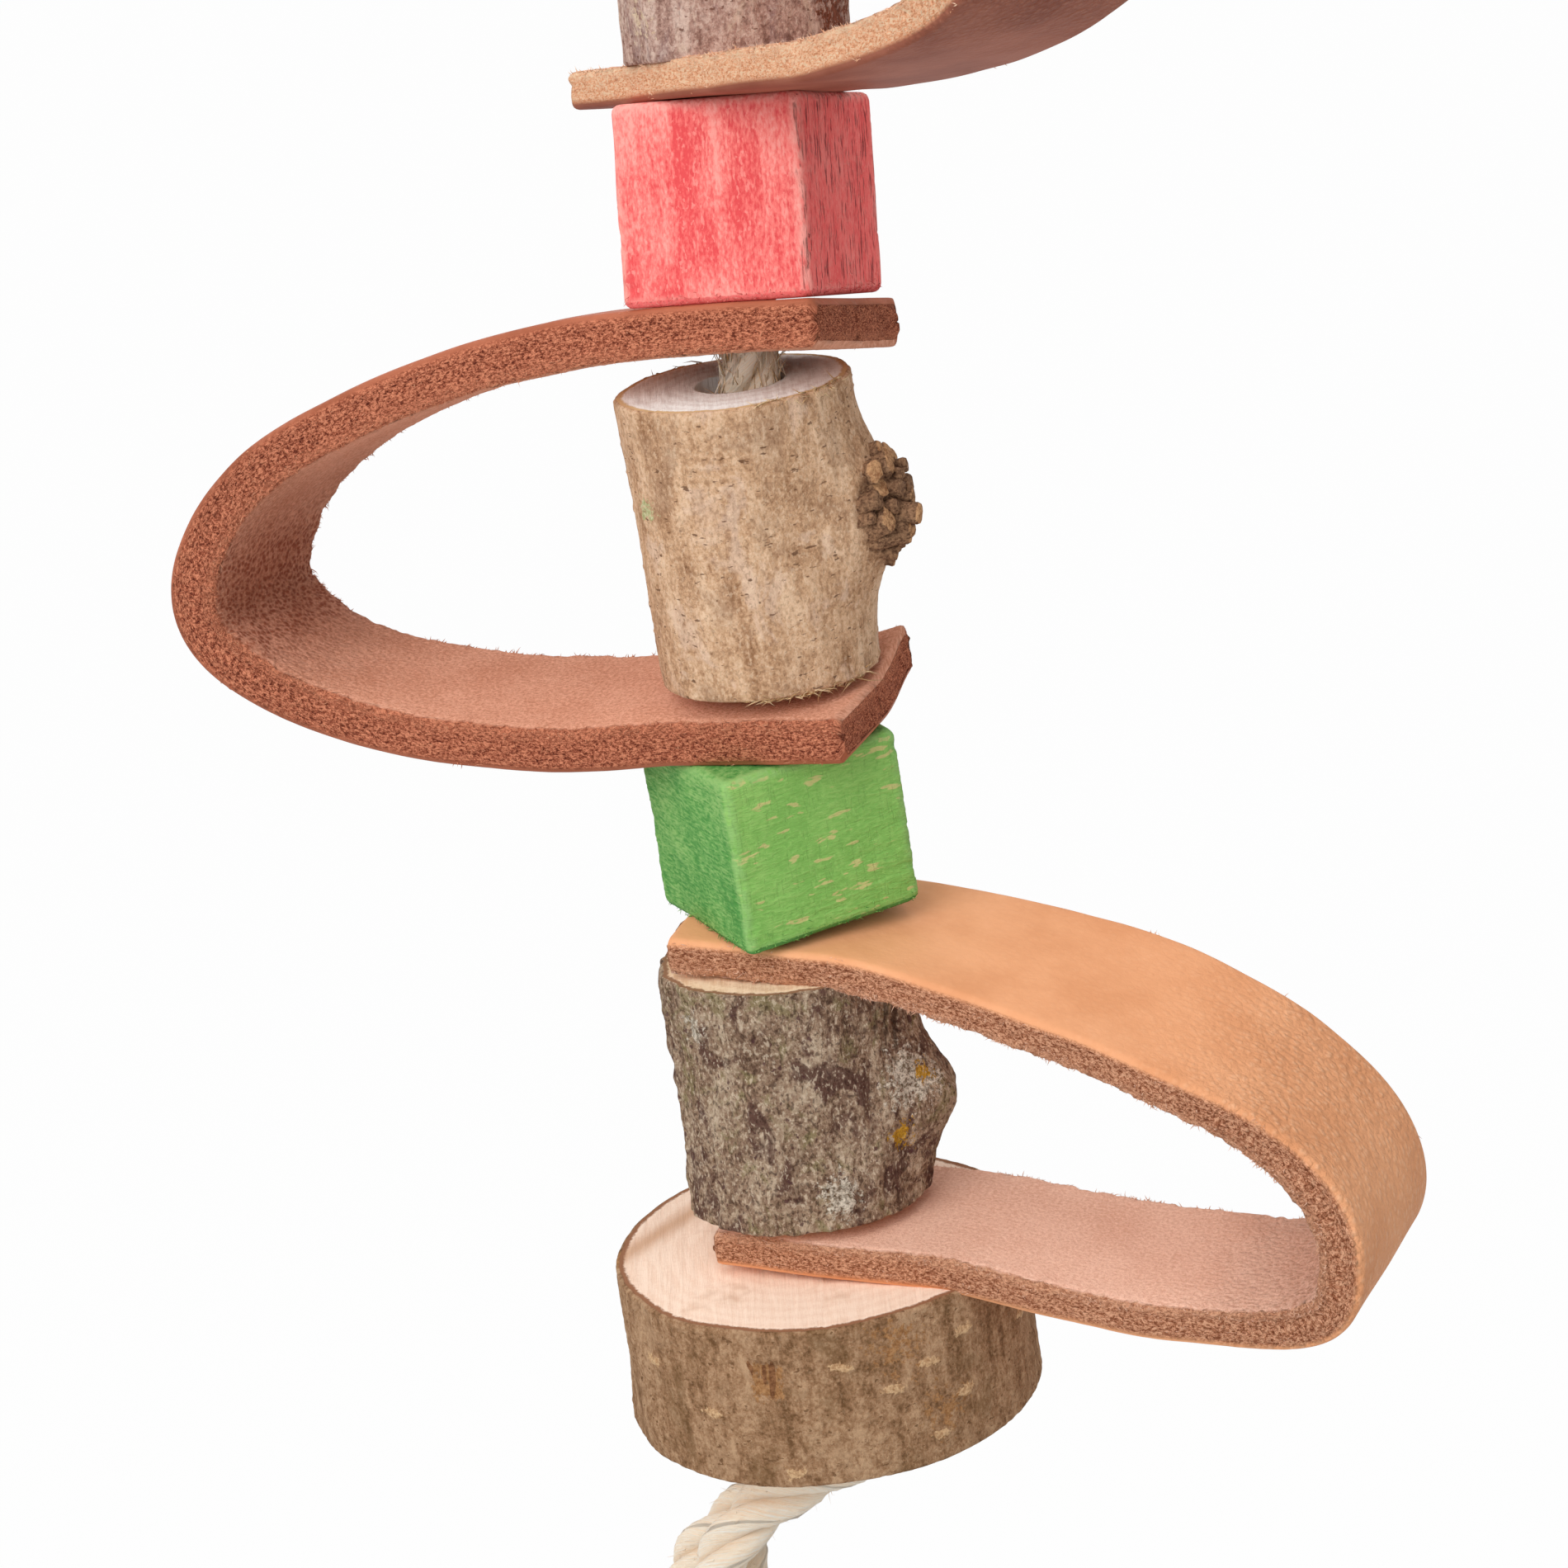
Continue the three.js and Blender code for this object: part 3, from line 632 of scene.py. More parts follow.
def stain_finish(name, tones, worn, crack, fleck, side_stain_and_light, lower_rim_band, streaks, cracks_share, fleck_share, grains):
    """Stained wood: soft clouds, grain streaks and brushed fibre of the given sizes, and pale specks. One
    face has a tone of its own, partly its stain and partly painted light and shade for how that face is lit,
    with short dark cracks and flecks of bare wood. Edges are worn, and a band along the lower rim is darker."""
    finish = Finish(name, 0.75, Specular_IOR_Level=0.2)
    local = finish.attribute("local", "Vector")
    side = finish.attribute("quarter")
    deep, middle, pale = tones
    cloud = finish.noise(local, (6, 6, 9), 3.0, 0.55)
    grain = finish.noise(local, grains[0], 4.0, 0.6)
    fine = finish.noise(local, grains[1], 3.0, 0.65)
    mixed = finish.weigh(cloud, 0.3, grain, streaks)
    mixed = finish.plus(mixed, finish.times(fine, 0.7 - streaks))
    tone = finish.ramp(mixed, (0.42, deep), (0.5, middle), (0.58, pale))
    specks = finish.noise(local, (0.5, 0.5, 0.85), 2.0, 0.5)
    tone = finish.mix(finish.between(specks, 0.6, 0.66, 0.0, 0.55), tone, pale)
    # One face takes its own tone: partly its stain, partly painted light and shade for how that face is lit,
    # deeper on the red cube and paler on the green.
    tone = finish.mix(finish.times(side, 0.55), tone, side_stain_and_light)
    dashes = finish.noise(local, (2.8, 2.8, 0.85), 2.0, 0.55)
    dash = finish.times(finish.between(dashes, 0.625, 0.67, 0.0, fleck_share), side)
    tone = finish.mix(dash, tone, fleck)
    cracks = finish.noise(local, (0.3, 0.3, 3), 3.0, 0.55)
    open_grain = finish.times(finish.between(cracks, 0.57, 0.66, 0.0, cracks_share), side)
    tone = finish.mix(open_grain, tone, crack)
    scuffs = finish.between(finish.noise(local, (0.7, 0.7, 1.6), 4.0), 0.35, 0.6, 0.1, 0.8)
    tone = finish.mix(finish.times(finish.attribute("wear"), scuffs), tone, worn)
    # Darker along a narrow band at the lower rim.
    low = finish.plus(finish.attribute("lower_rim_band"), finish.times(fine, 0.8))
    tone = finish.mix(finish.between(low, 0.95, 1.15, 0.0, 0.75), tone, lower_rim_band)
    relief = finish.calc("SUBTRACT", finish.plus(grain, fine), finish.times(open_grain, 2.0))
    return finish.done(tone, finish.bump(relief, 0.2))


def leather_finish(name, grain_tones, flesh_tones, edge_tones, band_from, soft_share):
    """Thick leather: a smooth outer face with pores and pebble grain where it bends, whose pebble tops are
    painted pale there as a painted highlight, a suede inner face with a short nap, whose folds are painted
    darker where it bends as painted shade, and cut edges of matted fibres that are paler towards the inner
    face. The skin attribute is millimetres along, across and through the strap, and level runs from -1 on
    the inner face to 1 on the outer."""
    finish = Finish(name, 0.7, Specular_IOR_Level=0.12)
    skin = finish.attribute("skin", "Vector")
    bend = finish.attribute("bend")
    level = finish.attribute("level")
    inside = finish.attribute("flesh")
    cut = finish.attribute("edge")
    mottle = finish.noise(skin, (9, 8, 9), 4.0, 0.55)
    nap = finish.noise(skin, (0.4, 0.4, 0.4), 4.0, 0.75)
    pebble = finish.cells(skin, (0.8, 0.65, 1))
    creases = finish.noise(skin, (0.5, 0.45, 1), 4.0, 0.65, 0.4)
    flexed = finish.between(bend, 0.02, 0.45)
    outer = finish.ramp(mottle, (0.36, grain_tones[0]), (0.62, grain_tones[1]))
    outer = finish.mix(finish.between(nap, 0.5, 0.7, 0.0, 0.2), outer, grain_tones[0])
    # Painted highlight: where the strap bends, pebble tops turn to the pale third grain tone.
    shown = finish.between(flexed, 0.0, 1.0, 0.05, 0.4)
    raised = finish.times(finish.between(pebble, 0.5, 0.15), shown)
    outer = finish.mix(raised, outer, grain_tones[2])
    suede = finish.weigh(nap, 0.75, mottle, 0.25)
    inner = finish.ramp(suede, (0.41, flesh_tones[0]), (0.58, flesh_tones[1]))
    # Painted shade: where the strap bends, the folds of the inner face darken to the third flesh tone.
    wrinkled = finish.plus(pebble, finish.times(nap, 0.5))
    folds = finish.between(wrinkled, 0.95, 0.45, 0.2, 0.9)
    inner = finish.mix(finish.times(folds, finish.between(bend, 0.2, 1.0)), inner, flesh_tones[2])
    clump = finish.noise(skin, (0.44, 0.34, 0.34), 5.0, 0.85, 0.4)
    thread = finish.noise(skin, (0.5, 0.16, 0.16), 4.0, 0.8, 0.7)
    matted = finish.weigh(clump, 0.55, thread, 0.45)
    deep, middle, pale, band = edge_tones
    edge = finish.ramp(matted, (0.43, deep), (0.49, middle), (0.55, pale))
    soft = finish.ramp(matted, (0.4, middle), (0.53, pale))
    ragged = finish.plus(level, finish.times(finish.calc("SUBTRACT", clump, 0.5), 1.6))
    edge = finish.mix(finish.between(ragged, -0.35, -0.85, 0.0, soft_share), edge, soft)
    edge = finish.mix(finish.between(ragged, band_from, band_from + 0.4, 0.0, 0.8), edge, band)
    colour = finish.mix(cut, finish.mix(inside, outer, inner), edge)
    rough = finish.calc("MAXIMUM", cut, inside)
    fibrous = finish.times(matted, finish.plus(cut, 0.2))
    coarse = finish.plus(finish.times(nap, 0.6), fibrous)
    normal = finish.bump(finish.times(coarse, finish.plus(rough, 0.06)), 0.3)
    folded = finish.calc("SUBTRACT", finish.times(creases, 0.7), finish.times(pebble, 0.6))
    worked = finish.times(folded, finish.between(flexed, 0.0, 1.0, 0.12, 1.5))
    normal = finish.bump(worked, 0.35, normal)
    return finish.done(colour, normal, finish.between(rough, 0.0, 1.0, 0.6, 0.95))


def rope_finish():
    """Cream plant fibre: yarns along each strand, fine fibres between them, and painted shade where the
    strands meet.
    """
    finish = Finish("rope_cotton", 0.95, Specular_IOR_Level=0.15, Sheen_Weight=0.25, Sheen_Roughness=0.6)
    lay = finish.attribute("lay", "Vector")
    hollow_shade = finish.attribute("hollow_shade")
    yarn = finish.noise(lay, (6, 0.35, 1), 3.0, 0.6)
    fluff = finish.noise(lay, (0.7, 0.12, 1), 4.0, 0.7)
    mixed = finish.weigh(yarn, 0.5, fluff, 0.5)
    deep, middle, pale = rgb(252, 221, 187), rgb(255, 239, 215), rgb(255, 249, 238)
    tone = finish.ramp(mixed, (0.36, deep), (0.5, middle), (0.62, pale))
    # Painted shade: the sides of the strands that face each other are darkened.
    tone = finish.mix(finish.times(hollow_shade, 0.4), tone, rgb(222, 184, 146))
    return finish.done(tone, finish.bump(mixed, 0.3))


def fibre_finish(name, deep, pale):
    """Loose fibres, each with its own shade between two tones."""
    finish = Finish(name, 0.9, Specular_IOR_Level=0.2)
    return finish.done(finish.mix(finish.attribute("shade"), deep, pale))


def steel_finish():
    """Zinc-plated steel: drawn lines along the wire, a cloudy sheen and small dull spots."""
    finish = Finish("plated_steel", 0.3, Metallic=1.0)
    lay = finish.attribute("lay", "Vector")
    lines = finish.noise(lay, (14, 0.18, 1), 4.0, 0.6)
    cloud = finish.noise(lay, (4, 3, 1), 3.0, 0.6)
    tone = finish.ramp(cloud, (0.35, rgb(176, 178, 180)), (0.65, rgb(208, 209, 208)))
    return finish.done(tone, finish.bump(lines, 0.03), finish.between(cloud, 0.3, 0.7, 0.22, 0.42))


# Wooden pieces


def drilled_block(outline, bore, half, rim, side_step, face_rows, turns):
    """A drilled block as one closed grid: up the bore, out over the top, round its rim, down the side, round
    the lower rim and back in below. Each row has a height, a share of the way from bore to outline, and an
    inset. Also the depth that the bark's material reads."""
    arc = np.linspace(0, math.pi / 2, 5)[1:]
    top_share = np.linspace(0, 1, face_rows)
    side = np.linspace(half - rim, rim - half, int(2 * half / side_step))[1:-1]
    bore_z = np.linspace(-half, half, 9)[1:-1]
    heights = np.concatenate([
        bore_z,
        np.full(face_rows, half),
        half - rim * (1 - np.cos(arc)),
        side,
        rim * (1 - np.cos(arc[::-1])) - half,
        np.full(face_rows, -half),
    ])
    full = np.ones(2 * len(arc) + len(side))
    share = np.concatenate([np.zeros(len(bore_z)), top_share, full, top_share[::-1]])
    inset = np.concatenate([
        np.full(len(bore_z) + face_rows, rim),
        rim * (1 - np.sin(arc)),
        np.zeros(len(side)),
        rim * (1 - np.sin(arc[::-1])),
        np.full(face_rows, rim),
    ])
    edge = outline(turns[None, :], heights[:, None])
    reach = np.linalg.norm(edge, axis=-1, keepdims=True)
    angle = np.arctan2(edge[..., 1], edge[..., 0])
    hole = bore * np.stack([np.cos(angle), np.sin(angle)], axis=-1)
    flat = hole + (edge * (1 - inset[:, None, None] / reach) - hole) * share[:, None, None]
    points = np.concatenate([flat, np.broadcast_to(heights[:, None, None], (*flat.shape[:2], 1))], axis=-1)
    inward = np.linalg.norm(edge - flat, axis=-1) - rim
    on_side = (share == 1) & (inset < rim)
    depth = np.where(on_side[:, None], inset[:, None] / rim - 1, np.maximum(inward, 0))
    return points, depth


def upright(joint_name, spin=0):
    """Where a wooden piece sits: the spin joint's place, and the turn from straight up to its axis after a
    turn about the bore."""
    joint = JOINTS[joint_name]
    axis = unit(np.array(joint["axis"]))
    lean = Vector(UP).rotation_difference(Vector(axis)).to_matrix()
    turn = lean @ Matrix.Rotation(math.radians(spin), 3, "Z")
    return np.array(joint["pos_m"]) / MM, np.array(turn)


def seat(points, name, length, spin=0):
    """A piece's own upright points, drawn out at both ends until it meets its neighbours, turned to the
    bore's axis and moved to the joint."""
    middle, turn = upright(name + "_spin", spin)
    up, down = GROWN[name]
    drawn = points.copy()
    drawn[..., 2] = points[..., 2] * (1 + (up + down) / length) + (up - down) / 2
    return drawn @ turn.T + middle


def near(angle, height, radius, facing, level, size):
    """A soft spot on the bark: 1 at its middle and falling off as a bell over its size in millimetres."""
    off = off_angle(angle, facing)
    return np.exp(-((off * radius) ** 2 + (height - level) ** 2) / size**2)


def patches(branch, angle, height, spots):
    """Soft spots on a branch added up, each with its strength, the way it faces, its height and its size."""
    return sum(strength * near(angle, height, branch["mark_radius"], *spot) for strength, *spot in spots)


def branch_outline(branch, relief, bumps):
    """A taper with a little ovality, set off from the bore, plus bell-shaped bumps and the bark's relief."""
    half = branch["length"] / 2

    def at(turn, height):
        """The place on the outline at an angle and a height."""
        share = (height + half) / (2 * half)
        radius = branch["lower"] + (branch["upper"] - branch["lower"]) * share
        radius = radius + branch["oval"] * np.cos(2 * turn)
        for facing, level, rise, breadth, tallness in bumps:
            off = np.degrees(off_angle(turn, facing))
            radius = radius + rise * np.exp(-((off / breadth) ** 2) - ((height - level) / tallness) ** 2)
        skin = np.stack([radius * np.cos(turn), radius * np.sin(turn), height + 0 * radius], axis=-1)
        radius = radius + relief(skin, turn, height)
        return np.stack([branch["off"] + radius * np.cos(turn), radius * np.sin(turn)], axis=-1)

    return at


def branch_piece(branch, relief, finish, slot, bumps, marks, rim=0.4, columns=BARK_COLUMNS):
    """A drilled length of branch with its bark, sawn ends and the marks that its material reads."""
    half = branch["length"] / 2
    turns = np.linspace(-math.pi, math.pi, columns, endpoint=False) + math.pi / 2
    outline = branch_outline(branch, relief, bumps)
    face_rows = int(branch["upper"] / FACE_STEP)
    points, depth = drilled_block(outline, BORE_DIAMETER / 2, half, rim, SIDE_STEP, face_rows, turns)
    saw = layers(points, (0.5, 8, 3), 71, 3) * 0.05
    points[..., 2] += np.where(depth > 0.2, saw, 0) * np.sign(points[..., 2])
    angle = np.arctan2(points[..., 1], points[..., 0])
    spots = {key: np.zeros(points.shape[:2]) for key in ("lichen", "yellow", "knot")}
    spots.update(marks(points, angle))
    name = branch["name"]
    placed = seat(points, name, branch["length"])
    faces = grid_faces(*points.shape[:2], rows_meet=True)
    piece(name + "_wood", placed, faces, name, slot, finish, name, local=points, depth=depth, **spots)


def top_bark(skin, turn, height):
    """Long low ridges along the branch and small bumps."""
    return 0.32 * layers(skin, (4, 4, 14), 11) + 0.1 * layers(skin, (0.8, 0.8, 2.2), 12, 3)


def top_marks(points, angle):
    """Rusty patches, which the yellow attribute carries, the two on the right side made stronger as painted
    shade on top of the rust, and one pale spot behind.
    """
    height = points[..., 2]
    return {
        "yellow": patches(BRANCH_TOP, angle, height, TOP_RUST_AND_SHADE),
        "lichen": patches(BRANCH_TOP, angle, height, TOP_LICHEN),
    }


def make_branch_top():
    """The upper branch: thin, with taupe bark."""
    finish = bark_finish(
        name="bark_taupe",
        tones=(rgb(132, 96, 84), rgb(186, 149, 135), rgb(220, 192, 177)),
        specks=(0.35, rgb(104, 72, 62), rgb(230, 206, 190)),
        patch=[(0.55, (0.54, 0.66), rgb(146, 116, 114)), (0.6, (0.44, 0.35), rgb(220, 192, 170))],
        dash=rgb(112, 72, 56),
        lichens=((rgb(206, 176, 146), rgb(228, 204, 178)), (rgb(104, 58, 42), rgb(148, 86, 62))),
        crust=(rgb(90, 60, 46), rgb(120, 84, 64)),
        cut=(rgb(226, 196, 176), rgb(196, 160, 142), rgb(190, 156, 144)),
        rim=rgb(150, 108, 86),
        bands=(1.5, 1.5, 16),
        mottle=(1.4, 1.4, 2.4),
        cloud=(3.6, 3.6, 6),
        dashes=(0.9, 0.9, 0.5),
        rough=1.0,
    )
    branch_piece(BRANCH_TOP, top_bark, finish, "bark_taupe", (), top_marks)


def middle_bark(skin, turn, height):
    """Smooth bark with low swellings, raised pores, and a knot whose crust is a cluster of round stubs."""
    pores = ease(0.5, 0.75, noise(skin, (1.3, 1.3, 0.6), 24))
    crust = ease(0.3, 0.6, knot_share(turn, height))
    lumps = 1 - pebbles(skin, (2.1, 2.1, 2.1), 27)
    knobbly = crust * (1.6 * lumps - 0.9)
    swellings = 0.22 * layers(skin, (5, 5, 12), 21) + 0.07 * layers(skin, (0.7, 0.7, 2), 22, 3)
    return swellings + 0.1 * pores + knobbly


def knot_share(turn, height):
    """How far a place on the middle branch belongs to the knot's crust: 1 in its middle, 0 away from it."""
    off = np.degrees(off_angle(turn, KNOT_FACING))
    return np.exp(-((off / 24) ** 2) - ((height - KNOT_LEVEL) / 5.2) ** 2)


def middle_marks(points, angle):
    """The knot's crust and one green spot."""
    height = points[..., 2]
    return {"knot": knot_share(angle, height), "lichen": patches(BRANCH_MIDDLE, angle, height, MIDDLE_GREEN)}


def stub_finish():
    """Broken-off buds: dark cracked sides and tan round ends with a darker heart."""
    finish = Finish("knot_stubs", 0.9, Specular_IOR_Level=0.12)
    local = finish.attribute("local", "Vector")
    grit = finish.noise(local, (0.4, 0.4, 0.4), 4.0, 0.75)
    side = finish.ramp(grit, (0.38, rgb(94, 65, 49)), (0.6, rgb(172, 132, 100)))
    end = finish.ramp(grit, (0.38, rgb(164, 112, 76)), (0.6, rgb(222, 174, 128)))
    shown = finish.plus(finish.attribute("shade"), finish.times(grit, 0.5))
    return finish.done(finish.mix(finish.between(shown, 0.75, 1.0), side, end), finish.bump(grit, 0.35))


def make_stubs(outline):
    """The knot's stubs: short round pegs with domed ends that lean apart, each a closed profile turned about
    its own line. They start under the bark, and their places fill an oval about the knot's middle by the
    golden angle."""
    draw = np.random.default_rng(29)
    order = np.arange(KNOT_STUBS) + 0.5
    spread = np.sqrt(order / KNOT_STUBS)
    swirl = order * math.pi * (3 - math.sqrt(5))
    turn = np.radians(KNOT_FACING + 21 * spread * np.cos(swirl))
    height = KNOT_LEVEL + 5.7 * spread * np.sin(swirl)
    edge = np.array([outline(np.array([t]), np.array([h]))[0] for t, h in zip(turn, height)])
    foot = np.concatenate([edge, height[:, None]], axis=-1)
    lean = np.stack([np.cos(turn), np.sin(turn), 0.55 * spread * np.sin(swirl)], axis=-1)
    lean = unit(lean + draw.normal(0, 0.22, lean.shape))
    side = unit(np.cross(lean, UP))
    other = np.cross(lean, side)
    wide = draw.uniform(0.65, 1.25, KNOT_STUBS)
    long = draw.uniform(0.7, 2.3, KNOT_STUBS) * (1.15 - 0.45 * spread)
    along = np.array([-1.6, -1.6, -0.5, 0.3, 0.75, 0.95, 1.0, 0.97])
    girth = np.array([0.0, 1.25, 1.15, 0.95, 1.0, 0.85, 0.5, 0.0])
    ring = ring_of(STUB_SIDES)
    reach = np.where(along < 0, along, 0)[None, :] + np.maximum(along, 0)[None, :] * long[:, None]
    rough = 1 + 0.16 * draw.normal(size=(KNOT_STUBS, 1, len(ring)))
    radius = wide[:, None, None] * girth[None, :, None] * rough
    foot, lean, side, other = (way[:, None, None, :] for way in (foot, lean, side, other))
    round_way = side * np.cos(ring)[:, None] + other * np.sin(ring)[:, None]
    points = foot + lean * reach[:, :, None, None] + round_way * radius[..., None]
    faces = all_shells(points, grid_faces(len(along), len(ring)))
    tone = draw.uniform(0.3, 1.0, (KNOT_STUBS, 1, 1)) * ease(0.6, 0.97, along)[None, :, None]
    shade = np.broadcast_to(tone, points.shape[:3])
    name = "branch_middle"
    placed = seat(points.reshape(-1, 3), name, BRANCH_MIDDLE["length"])
    values = {"local": points, "shade": shade}
    piece(name + "_stubs", placed, faces, name, "bark_tan", stub_finish(), weld=True, **values)


def make_bast(outline):
    """Loose bast along the sawn rims: flat-lying fibres that follow the rim and hang out over it."""
    draw = np.random.default_rng(31)
    half = BRANCH_MIDDLE["length"] / 2
    runs = [(half, -78, -22, 110), (half, 60, 150, 50), (-half, -105, -30, 150), (-half, 30, 160, 60)]
    roots, leans = [], []
    for height, start, end, count in runs:
        turn = np.radians(draw.uniform(start, end, count))
        edge = np.array([outline(np.array([t]), np.array([height]))[0] for t in turn])
        sink = draw.uniform(-0.5, 0.1, count) * np.sign(height)
        out_way, along = level_ways(turn)
        along = along * draw.choice([-1, -1, 1], (count, 1))
        roots.append(np.concatenate([edge, (height + sink)[:, None]], axis=-1) - 0.35 * out_way)
        lean = along + out_way * draw.uniform(0.05, 0.4, (count, 1))
        leans.append(lean + UP * draw.normal(-0.1, 0.2, (count, 1)))
    roots = seat(np.concatenate(roots), "branch_middle", BRANCH_MIDDLE["length"])
    lengths = np.minimum(draw.gamma(2.4, 0.4, len(roots)) + 0.3, 3.4)
    bast = fibre_finish("bast", rgb(176, 132, 84), rgb(240, 212, 170))
    leans = np.concatenate(leans)
    fibres("branch_middle_bast", roots, leans, lengths, 0.1, "branch_middle", "bark_tan", bast, 32)


def make_branch_middle():
    """The middle branch: light bark, a knot of stubs and loose bast on its rims."""
    finish = bark_finish(
        name="bark_tan",
        tones=(rgb(156, 114, 82), rgb(206, 164, 128), rgb(234, 198, 164)),
        specks=(0.35, rgb(132, 96, 68), rgb(240, 212, 182)),
        patch=[(0.45, (0.48, 0.7), rgb(156, 122, 98)), (0.45, (0.44, 0.34), rgb(236, 206, 184))],
        dash=rgb(104, 70, 50),
        lichens=((rgb(166, 168, 116), rgb(206, 204, 160)), (rgb(166, 130, 70), rgb(206, 176, 100))),
        crust=(rgb(112, 80, 60), rgb(176, 136, 104)),
        # Painted light: the sawn ends are near white, paler than the wood, to lift the upper end in the
        # strap's shade.
        cut=(rgb(252, 250, 246), rgb(230, 222, 216), rgb(220, 206, 196)),
        rim=rgb(216, 180, 134),
        bands=(2.6, 2.6, 20),
        mottle=(1.7, 1.7, 3.4),
        cloud=(6, 6, 8),
        dashes=(1.2, 1.2, 0.42),
        rough=0.75,
    )
    branch_piece(BRANCH_MIDDLE, middle_bark, finish, "bark_tan", MIDDLE_BUMPS, middle_marks)
    outline = branch_outline(BRANCH_MIDDLE, middle_bark, MIDDLE_BUMPS)
    make_stubs(outline)
    make_bast(outline)


def lower_bark(skin, turn, height):
    """Rough bark: lumps, grit, short furrows along the branch, and upright wrinkles above the knob."""
    furrow = np.abs(noise(skin, (2.2, 2.2, 8), 33))
    rough = 0.4 * layers(skin, (4, 4, 6), 31) + 0.18 * layers(skin, (0.9, 0.9, 1.4), 32, 3)
    return rough + 0.3 * wrinkles(turn, height) - 0.35 * (1 - furrow) ** 4


def wrinkles(turn, height):
    """Upright folds above the lower branch's knob: a sine round the branch whose folds wander, and which
    fades out as a bell."""
    wander = 1.5 * np.sin(0.55 * height) + 1.2 * np.sin(17 * turn)
    return near(turn, height, BRANCH_LOWER["mark_radius"], -36, 7, 4.6) * np.sin(turn * 44 + wander)


def lower_marks(points, angle):
    """Grey and yellow lichen, and dark hollows between the wrinkles."""
    height = points[..., 2]
    return {
        "lichen": 0.75 * patches(BRANCH_LOWER, angle, height, LOWER_LICHEN),
        "yellow": 0.8 * patches(BRANCH_LOWER, angle, height, LOWER_YELLOW),
        "knot": 0.42 * ease(0.2, 0.7, -wrinkles(angle, height)),
    }


def make_branch_lower():
    """The lower branch: rough grey bark with lichen and a knob."""
    finish = bark_finish(
        name="bark_grey",
        tones=(rgb(104, 78, 62), rgb(164, 134, 110), rgb(206, 182, 156)),
        specks=(0.6, rgb(62, 42, 34), rgb(232, 212, 186)),
        patch=[(0.85, (0.51, 0.62), rgb(98, 66, 58)), (0.65, (0.46, 0.36), rgb(150, 138, 96))],
        dash=rgb(92, 60, 60),
        lichens=((rgb(124, 106, 84), rgb(244, 232, 214)), (rgb(180, 128, 36), rgb(230, 176, 56))),
        crust=(rgb(56, 38, 30), rgb(92, 68, 54)),
        cut=(rgb(250, 226, 194), rgb(230, 198, 160), rgb(222, 190, 154)),
        rim=rgb(150, 112, 84),
        bands=(3.4, 3.4, 6),
        mottle=(0.9, 0.9, 1.1),
        cloud=(4.4, 4.4, 5),
        dashes=(0.8, 0.8, 0.9),
        rough=1.6,
    )
    branch_piece(BRANCH_LOWER, lower_bark, finish, "bark_grey", LOWER_BUMPS, lower_marks)


def lenticel_share(angle, height):
    """The slice's raised pores: ovals that lie across the bark, each a bell that is wider than tall."""
    total = 0 * angle * height
    for facing, level in LENTICELS:
        off = off_angle(angle, facing)
        total = total + np.exp(-((off * LOG_SLICE["upper"] / 1.3) ** 2) - ((height - level) / 0.62) ** 2)
    return total


def scratches(angle, height):
    """Upright scratches round the slice, from 0 between them to 1 in them."""
    place = together(angle * LOG_SLICE["upper"], 0 * angle, height)
    return ease(0.2, 0.6, noise(place, (0.45, 1, 5), 47))


def slice_bark(skin, turn, height):
    """Thin bark with broad waves, raised pores that lie across it, and one shallow scratched scar."""
    scar = 0.15 + 0.35 * scratches(turn, height)
    broad = 0.5 * layers(skin, (10, 10, 12), 41, 2) + 0.08 * layers(skin, (0.8, 0.8, 0.8), 42, 3)
    return broad + 0.25 * lenticel_share(turn, height) - scar * scar_share(turn, height)


def scar_share(angle, height):
    """The slice's scar: 1 on a square a few millimetres wide, 0 off it, with an uneven border."""
    off = off_angle(angle, SCAR_FACING)
    ragged = 0.35 * np.sin(9 * off * LOG_SLICE["upper"]) * np.cos(3 * height)
    reach = np.maximum(np.abs(off * LOG_SLICE["upper"]), np.abs(height - SCAR_LEVEL) * 0.9)
    return ease(2.1, 1.5, reach + ragged)


def slice_marks(points, angle):
    """The slice's pores, its rust and a straight stain across its ends, and the scratches in its scar."""
    height = points[..., 2]
    facing = math.radians(STAIN_FACING)
    across = points[..., 0] * math.cos(facing) + points[..., 1] * math.sin(facing)
    stain = np.exp(-(((across - STAIN_OUT) / 1.5) ** 2))
    on_end = np.abs(height) > LOG_SLICE["length"] / 2 - 0.3
    scar = scar_share(angle, height)
    rust = patches(LOG_SLICE, angle, height, SLICE_RUST)
    return {
        "lichen": 0.9 * lenticel_share(angle, height) * ~on_end,
        "yellow": np.where(on_end, 0.75 * stain, np.maximum(rust, 0.55 * scar)),
        "knot": scar * scratches(angle, height),
    }


def make_log_slice():
    """The slice: brown bark with pores and a scar, and wide sawn faces."""
    finish = bark_finish(
        name="bark_brown",
        tones=(rgb(112, 80, 52), rgb(158, 120, 88), rgb(192, 156, 122)),
        specks=(0.2, rgb(100, 70, 46), rgb(206, 172, 138)),
        patch=[(0.5, (0.52, 0.7), rgb(116, 86, 54)), (0.4, (0.45, 0.34), rgb(180, 146, 114))],
        dash=rgb(108, 76, 50),
        lichens=((rgb(176, 134, 96), rgb(222, 186, 144)), (rgb(148, 102, 62), rgb(182, 136, 92))),
        crust=(rgb(112, 72, 46), rgb(152, 106, 72)),
        cut=(rgb(252, 226, 205), rgb(244, 213, 190), rgb(198, 150, 114)),
        rim=rgb(150, 104, 76),
        bands=(1.8, 1.8, 14),
        mottle=(1.1, 1.1, 1.6),
        cloud=(6, 6, 9),
        dashes=(0.9, 0.9, 0.5),
        rough=0.8,
    )
    branch_piece(LOG_SLICE, slice_bark, finish, "bark_brown", (), slice_marks, 0.5, SLICE_COLUMNS)


